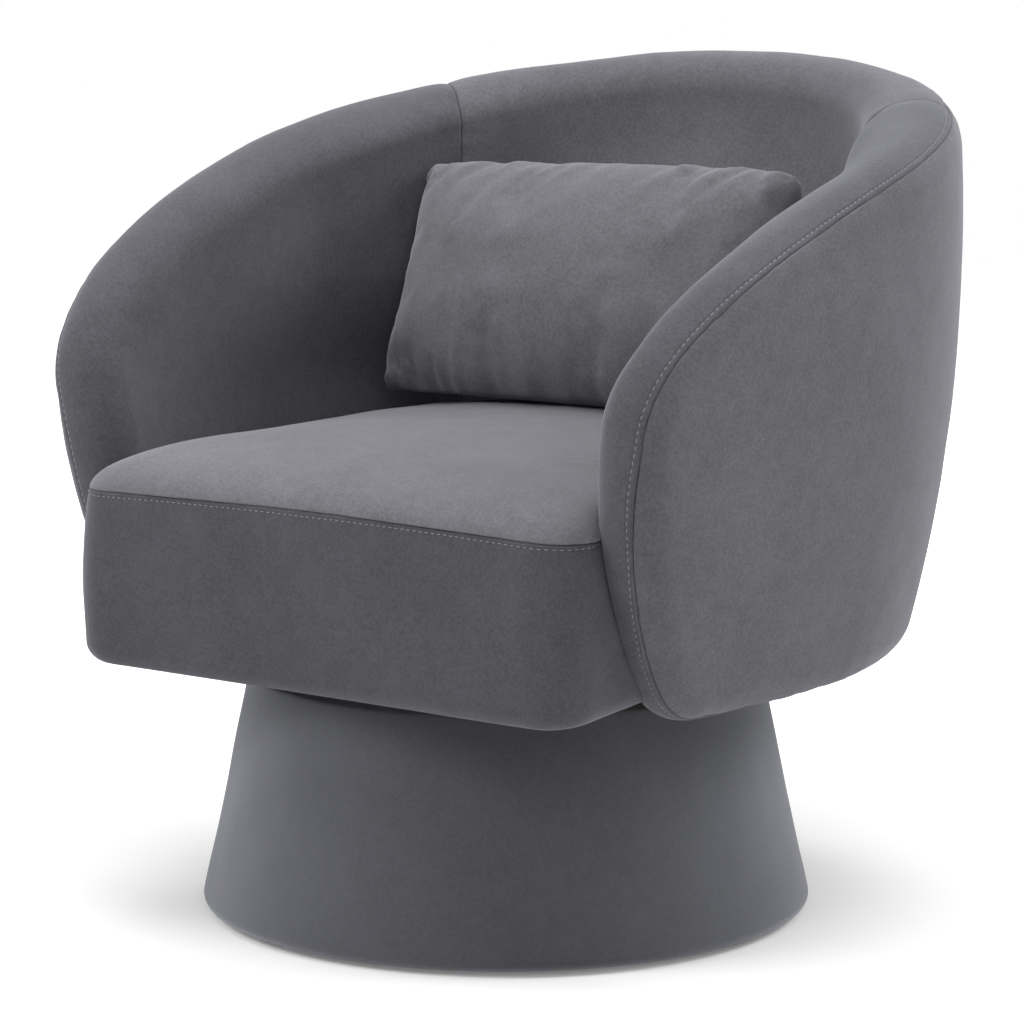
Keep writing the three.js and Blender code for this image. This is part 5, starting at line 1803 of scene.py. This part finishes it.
@dataclass
class ConeBase:
    """The velvet cover of the cone base: a round bottom edge, a straight cone and two folds."""

    radius: float = 0.275
    top_radius: float = 0.232
    height: float = 0.217
    edge_radius: float = 0.009
    bottom: float = 0.0037
    padding: float = 0.023
    fold: float = 0.002
    fold_radius: float = 0.16666
    disc_height: float = 0.024
    hem_width: float = 0.033
    top_roll: float = 0.004
    wave_heights: tuple[float, float, float, float] = (0.02, 0.05, 0.190, 0.212)
    tightness: float = 0.0006
    seam_roll: float = 0.0022
    columns: int = 360
    row_step: float = 0.0045
    edge_rows: int = 18
    roll_rows: int = 7
    fold_rows: int = 8
    seed: int = 81
    fill: float = 0.9

    def _outer(self) -> Array:
        """Outer half-section: the round bottom edge, the cone, and the fold over the top.

        The cone starts where a line from its top touches the bottom edge's circle.

        Returns:
            Points of radius and height.
        """
        top = np.array([self.top_radius, self.height])
        centre = np.array([self.radius - self.edge_radius, self.bottom + self.edge_radius])
        to_top = top - centre
        reach = float(np.hypot(*to_top))
        lean = math.atan2(to_top[1], to_top[0]) - math.acos(self.edge_radius / reach)
        turn = np.linspace(-QUARTER, lean, self.edge_rows)
        edge = centre + self.edge_radius * np.stack([np.cos(turn), np.sin(turn)], axis=-1)
        share = spaced(0.0, float(np.hypot(*(top - edge[-1]))), self.row_step)
        cone = edge[-1] + (top - edge[-1]) * (share / share[-1])[:, None]
        arc = np.linspace(0.0, 1.0, self.roll_rows)[:, None]
        start = top - unit(cone[-1] - cone[0]) * self.top_roll
        end = top - np.array([self.top_roll, 0.0])
        corner = (1 - arc) ** 2 * start + 2 * arc * (1 - arc) * top + arc**2 * end
        fold = np.stack([np.linspace(end[0], self.fold_radius, self.fold_rows + 1)[1:],
                         np.full(self.fold_rows, self.height)], axis=-1)
        return np.concatenate([edge, cone[1:-2], corner, fold])

    def _inner(self) -> Array:
        """Inner half-section: under the top fold, down the padding and over the bottom fold.

        Returns:
            Points of radius and height.
        """
        cone_radius, cone_height = self._outer()[self.edge_rows - 1]
        under, hem = self.height - self.fold, self.bottom + self.fold
        tall = self.height - cone_height
        along = (np.array([under, self.disc_height]) - cone_height) / tall
        high, low = cone_radius + (self.top_radius - cone_radius) * along - self.padding
        end = self.radius - self.edge_radius - self.hem_width
        return np.array([[self.fold_radius, under], [high, under], [low, hem], [end, hem],
                         [end, self.bottom]])

    def build(self, velvet: Finish) -> None:
        """Builds the cover: its section carried round the swivel axis, with slight waves."""
        turn = np.arange(self.columns) * math.tau / self.columns
        around = np.stack([np.cos(turn), np.sin(turn)], axis=-1)[None]
        section = np.concatenate([self._outer(), self._inner()])[:, None]
        height = np.broadcast_to(section[..., 1:], (len(section), self.columns, 1))
        rows = np.concatenate([section[..., :1] * around, height], axis=-1)
        skin = rows[: len(self._outer())]
        start, full, hold, end = self.wave_heights
        level = skin[..., 2]
        on_cone = smoothstep(start, full, level) * (1 - smoothstep(hold, end, level))
        seam_gap = np.abs((turn - QUARTER + math.pi) % math.tau - math.pi) * self.top_radius
        relief = fabric_swell(skin, self.seed) - self.tightness
        relief -= rolled_in(seam_gap, self.seam_roll)
        skin[..., :2] += around * (relief * on_cone)[..., None]
        rows = np.concatenate([rows, rows[:1]])
        faces = grid_faces(rows.shape[0], rows.shape[1], closed=True)
        item = new_mesh("velvet_base_cover", rows.reshape(-1, 3), faces)
        settle(item, "base", "base_cover", velvet)


# Carried-over parts


@dataclass(frozen=True)
class Workshop:
    """The finishes of the parts inside the chair, by the record's slots."""

    birch: WoodFinish = WoodFinish("birch_plywood", (193.0, 160.0, 118.0), (9.0, 9.0, 1.0), 650.0)
    board: FibreFinish = FibreFinish("fibreboard", (150.0, 118.0, 84.0), 520.0, 0.22)
    timber: WoodFinish = WoodFinish("pine", (205.0, 172.0, 122.0))
    steel: MetalFinish = MetalFinish("zinc_plated_steel", (176.0, 178.0, 180.0))
    dark_steel: MetalFinish = MetalFinish("oiled_steel", (84.0, 86.0, 90.0), 0.42)
    foam: FibreFinish = FibreFinish("foam", (226.0, 219.0, 196.0), 900.0, 0.1, 0.0007)
    cloth: FibreFinish = FibreFinish("dust_cloth", (34.0, 34.0, 36.0), 1300.0, 0.3, 0.0003)
    nylon: NylonFinish = NylonFinish()

    def dress_all(self) -> None:
        """Gives every carried-over part the finish of its slot."""
        made = {
            "plywood": self.birch.build(),
            "board": self.board.build(),
            "timber": self.timber.build(),
            "swivel_steel": self.steel.build(),
            "dark_steel": self.dark_steel.build(),
            "foam": self.foam.build(),
            "dust_cloth": self.cloth.build(),
            "glides": self.nylon.build(),
        }
        for part in frame["record"]["subparts"]:
            material = made.get(part["material_slot"])
            if material is not None:
                dress(frame["nodes"][part["node"]], material)
                log.info("%s: %s", part["node"], material.name)


# Studio


@dataclass(frozen=True)
class Lamp:
    """A square soft lamp that shines at the chair."""

    name: str
    place: Triple
    size: float
    power: float
    colour: Triple = (1.0, 1.0, 1.0)
    target: Triple = (0.0, 0.0, 0.4)

    def build(self) -> None:
        """Hangs the lamp, turned to its target."""
        data = bpy.data.lights.new(self.name, "AREA")
        data.shape = "SQUARE"
        data.size = self.size
        data.energy = self.power
        data.color = self.colour
        item = bpy.data.objects.new(self.name, data)
        direction = Vector(self.target) - Vector(self.place)
        turned = direction.to_track_quat("-Z", "Y").to_matrix().to_4x4()
        item.matrix_world = Matrix.Translation(self.place) @ turned
        bpy.context.scene.collection.objects.link(item)


@dataclass
class Studio:
    """Pale floor, white surroundings, soft lamps and the camera."""

    floor_half: float = 6.0
    ambient: float = 0.04
    floor_colour: float = 0.84
    # Glow to the camera round the base, and the reach over which it rises: weaker near the chair,
    # a painted shade ring on top of the real shadow.
    shade_ring_glow: Pair = (0.17, 0.29)
    shade_ring_reach: Pair = (0.26, 0.42)
    far_reach: Pair = (0.55, 2.2)
    position: Triple = (2.1583, -2.7896, 0.8882)
    forward: Triple = (-0.60393, 0.78303, -0.14877)
    focal_pixels: float = 3961.8
    picture_pixels: float = 1024.0
    sensor: float = 36.0
    lamps: tuple[Lamp, ...] = (
        Lamp("top", (0.0, 0.0, 3.6), 3.0, 105.0),
        Lamp("front", (-2.0, -3.0, 2.8), 2.0, 100.0),
        Lamp("near", (2.6, -3.0, 2.4), 2.0, 38.0),
        Lamp("side", (3.6, -0.3, 1.2), 2.0, 18.0),
        Lamp("low", (-3.0, -0.8, 0.9), 1.5, 14.0),
        Lamp("rear", (2.6, 2.4, 2.8), 2.0, 100.0),
    )

    def _seen_directly(self, sheet: NodeSheet) -> Socket:
        """Says whether a ray comes from the camera, a reflection or through something clear."""
        path = sheet.add("ShaderNodeLightPath")
        seen = path.outputs["Is Camera Ray"]
        for name in ("Is Glossy Ray", "Is Transmission Ray"):
            seen = sheet.maths("MAXIMUM", seen, path.outputs[name])
        return seen

    def _world(self) -> None:
        """White where seen, and a moderate even light on the object."""
        world = bpy.data.worlds.new("studio")
        bpy.context.scene.world = world
        sheet = NodeSheet(world, "ShaderNodeOutputWorld")
        mix = sheet.add("ShaderNodeMixShader")
        sheet.join(self._seen_directly(sheet), mix.inputs[0])
        for end, strength in zip(mix.inputs[1:], (self.ambient, 1.0)):
            back = sheet.add("ShaderNodeBackground", strength=strength)
            back.inputs["Color"].default_value = (1.0, 1.0, 1.0, 1.0)
            sheet.join(back.outputs[0], end)
        sheet.join(mix.outputs[0], sheet.output.inputs["Surface"])

    def _floor(self) -> None:
        """Pale floor that keeps the chair's shadow and glows to the camera: weakly round the base,
        as a painted shade ring, and up to white far off.
        """
        edge = self.floor_half
        corners = [(-edge, -edge, 0.0), (edge, -edge, 0.0), (edge, edge, 0.0), (-edge, edge, 0.0)]
        mesh = bpy.data.meshes.new("floor")
        mesh.from_pydata(corners, [], [(0, 1, 2, 3)])
        item = bpy.data.objects.new("floor", mesh)
        bpy.context.scene.collection.objects.link(item)
        paper, sheet = new_material("floor_paper")
        diffuse = sheet.add("ShaderNodeBsdfDiffuse")
        diffuse.inputs["Color"].default_value = (*(self.floor_colour,) * 3, 1.0)
        glow = sheet.add("ShaderNodeEmission")
        glow.inputs["Color"].default_value = (1.0, 1.0, 1.0, 1.0)
        far = sheet.add("ShaderNodeVectorMath", operation="LENGTH")
        sheet.join(sheet.place(), far.inputs[0])
        # Near the chair the glow is weaker, a painted shade ring round the base; far off it rises
        # until the floor is white.
        near = sheet.ranged(far.outputs["Value"], *self.shade_ring_reach, *self.shade_ring_glow)
        beyond = sheet.ranged(far.outputs["Value"], *self.far_reach, 0.0, 1.0 - self.shade_ring_glow[1])
        seen = sheet.maths("MULTIPLY", self._seen_directly(sheet),
                           sheet.maths("ADD", near, beyond))
        sheet.join(seen, glow.inputs["Strength"])
        total = sheet.add("ShaderNodeAddShader")
        for end, part in zip(total.inputs, (diffuse, glow)):
            sheet.join(part.outputs[0], end)
        sheet.join(total.outputs[0], sheet.output.inputs["Surface"])
        dress(item, paper)

    def _camera(self) -> None:
        """The camera, at the photograph's angle."""
        data = bpy.data.cameras.new("camera")
        data.sensor_width = self.sensor
        data.lens = self.focal_pixels * self.sensor / self.picture_pixels
        data.clip_end = 50.0
        item = bpy.data.objects.new("camera", data)
        turned = Vector(self.forward).to_track_quat("-Z", "Y").to_matrix().to_4x4()
        item.matrix_world = Matrix.Translation(self.position) @ turned
        bpy.context.scene.collection.objects.link(item)
        bpy.context.scene.camera = item

    def build(self) -> None:
        """Sets up the studio."""
        bpy.context.scene.view_settings.view_transform = "Standard"
        self._world()
        self._floor()
        self._camera()
        for lamp in self.lamps:
            lamp.build()


@dataclass(frozen=True)
class ShellVelvets:
    """The velvets of the shell: one grey velvet in lit and shaded copies, each panel's colour made
    lighter or darker as painted light and shade.
    """

    inside_arms: Finish
    inside_back: Finish
    outside: Finish


def build_shell(shell: BarrelShell, nose: SeatNose, velvets: ShellVelvets, thread: Finish) -> None:
    """Builds the shell's panels, open for the nose, the seat box and the blocks.

    Args:
        shell: The barrel's form.
        nose: The nose that stands in it.
        velvets: The panels' finishes.
        thread: The topstitching's finish.
    """
    panels = ShellPanels(shell)
    lines = {}
    insides, outsides = [], []
    for side in Side:
        item, line = panels.arm(side, True, velvets.inside_arms, 11 + side.value)
        insides.append(item)
        lines[f"stitches_arm_{side.name.lower()}"] = line
        outsides.append(panels.arm(side, False, velvets.outside, 21 + side.value)[0])
    back, back_lines = panels.back(True, velvets.inside_back, 31)
    lines["stitches_back_rim"], lines["stitches_back_foot"] = back_lines
    panels.back(False, velvets.outside, 35)
    nose_space, _ = nose.body("nose_space", grow=NOSE_GAP)
    box_space = nose.hollow("box_space", DEEP_CUT, nose.rail_top + TOUCH_GAP, nose.box_back)
    notches = [grown_block(f"shell_block_{i}", TOUCH_GAP) for i in range(1, 6)]
    for item in (*insides, back):
        carve(item, nose_space)
        carve(item, box_space)
    for notch in notches:
        carve(back, notch)
    for item in outsides:
        carve(item, nose_space)
    discard(nose_space, box_space, *notches)
    for name, line in lines.items():
        sew(name, line, thread)


def main() -> None:
    """Builds the chair's surfaces in order, dresses the parts inside, and sets up the studio."""
    logging.basicConfig(level=logging.INFO, format="%(name)s: %(message)s")
    # One grey velvet in lit and shaded copies: each piece's colour is lighter or darker as painted
    # light and shade. The arm insides are darker as painted shade, and the back is lighter as
    # painted light.
    velvets = ShellVelvets(
        VelvetFinish("velvet_arm", (83.0, 83.0, 88.0)).build(),
        VelvetFinish("velvet_back", (97.0, 96.0, 101.0)).build(),
        VelvetFinish("velvet_outside", (92.0, 91.0, 96.0)).build())
    thread = ThreadFinish().build()
    Studio().build()
    shell = BarrelShell()
    nose = SeatNose()
    build_shell(shell, nose, velvets, thread)
    # The border's velvet is darker, as painted shade on its upright front.
    nose.build(VelvetFinish("velvet_border", (75.0, 74.0, 79.0)).build(), thread)
    # The cushion's velvet is lighter, as painted light on its top.
    cushion_velvet = VelvetFinish("velvet_cushion", (106.0, 105.0, 110.0)).build()
    SeatCushion(nose, shell).build(cushion_velvet)
    # The pillow's velvet is lighter, as painted light.
    LumbarPillow().build(VelvetFinish("velvet_pillow", (103.0, 102.0, 107.0)).build())
    # The base's velvet is much darker, as painted shade under the seat.
    base_velvet = VelvetFinish("velvet_base", (60.0, 60.0, 65.0), sheen_weight=0.66,
                               sheen_roughness=0.60)
    ConeBase().build(base_velvet.build())
    Workshop().dress_all()


if __name__ == "__main__":
    main()
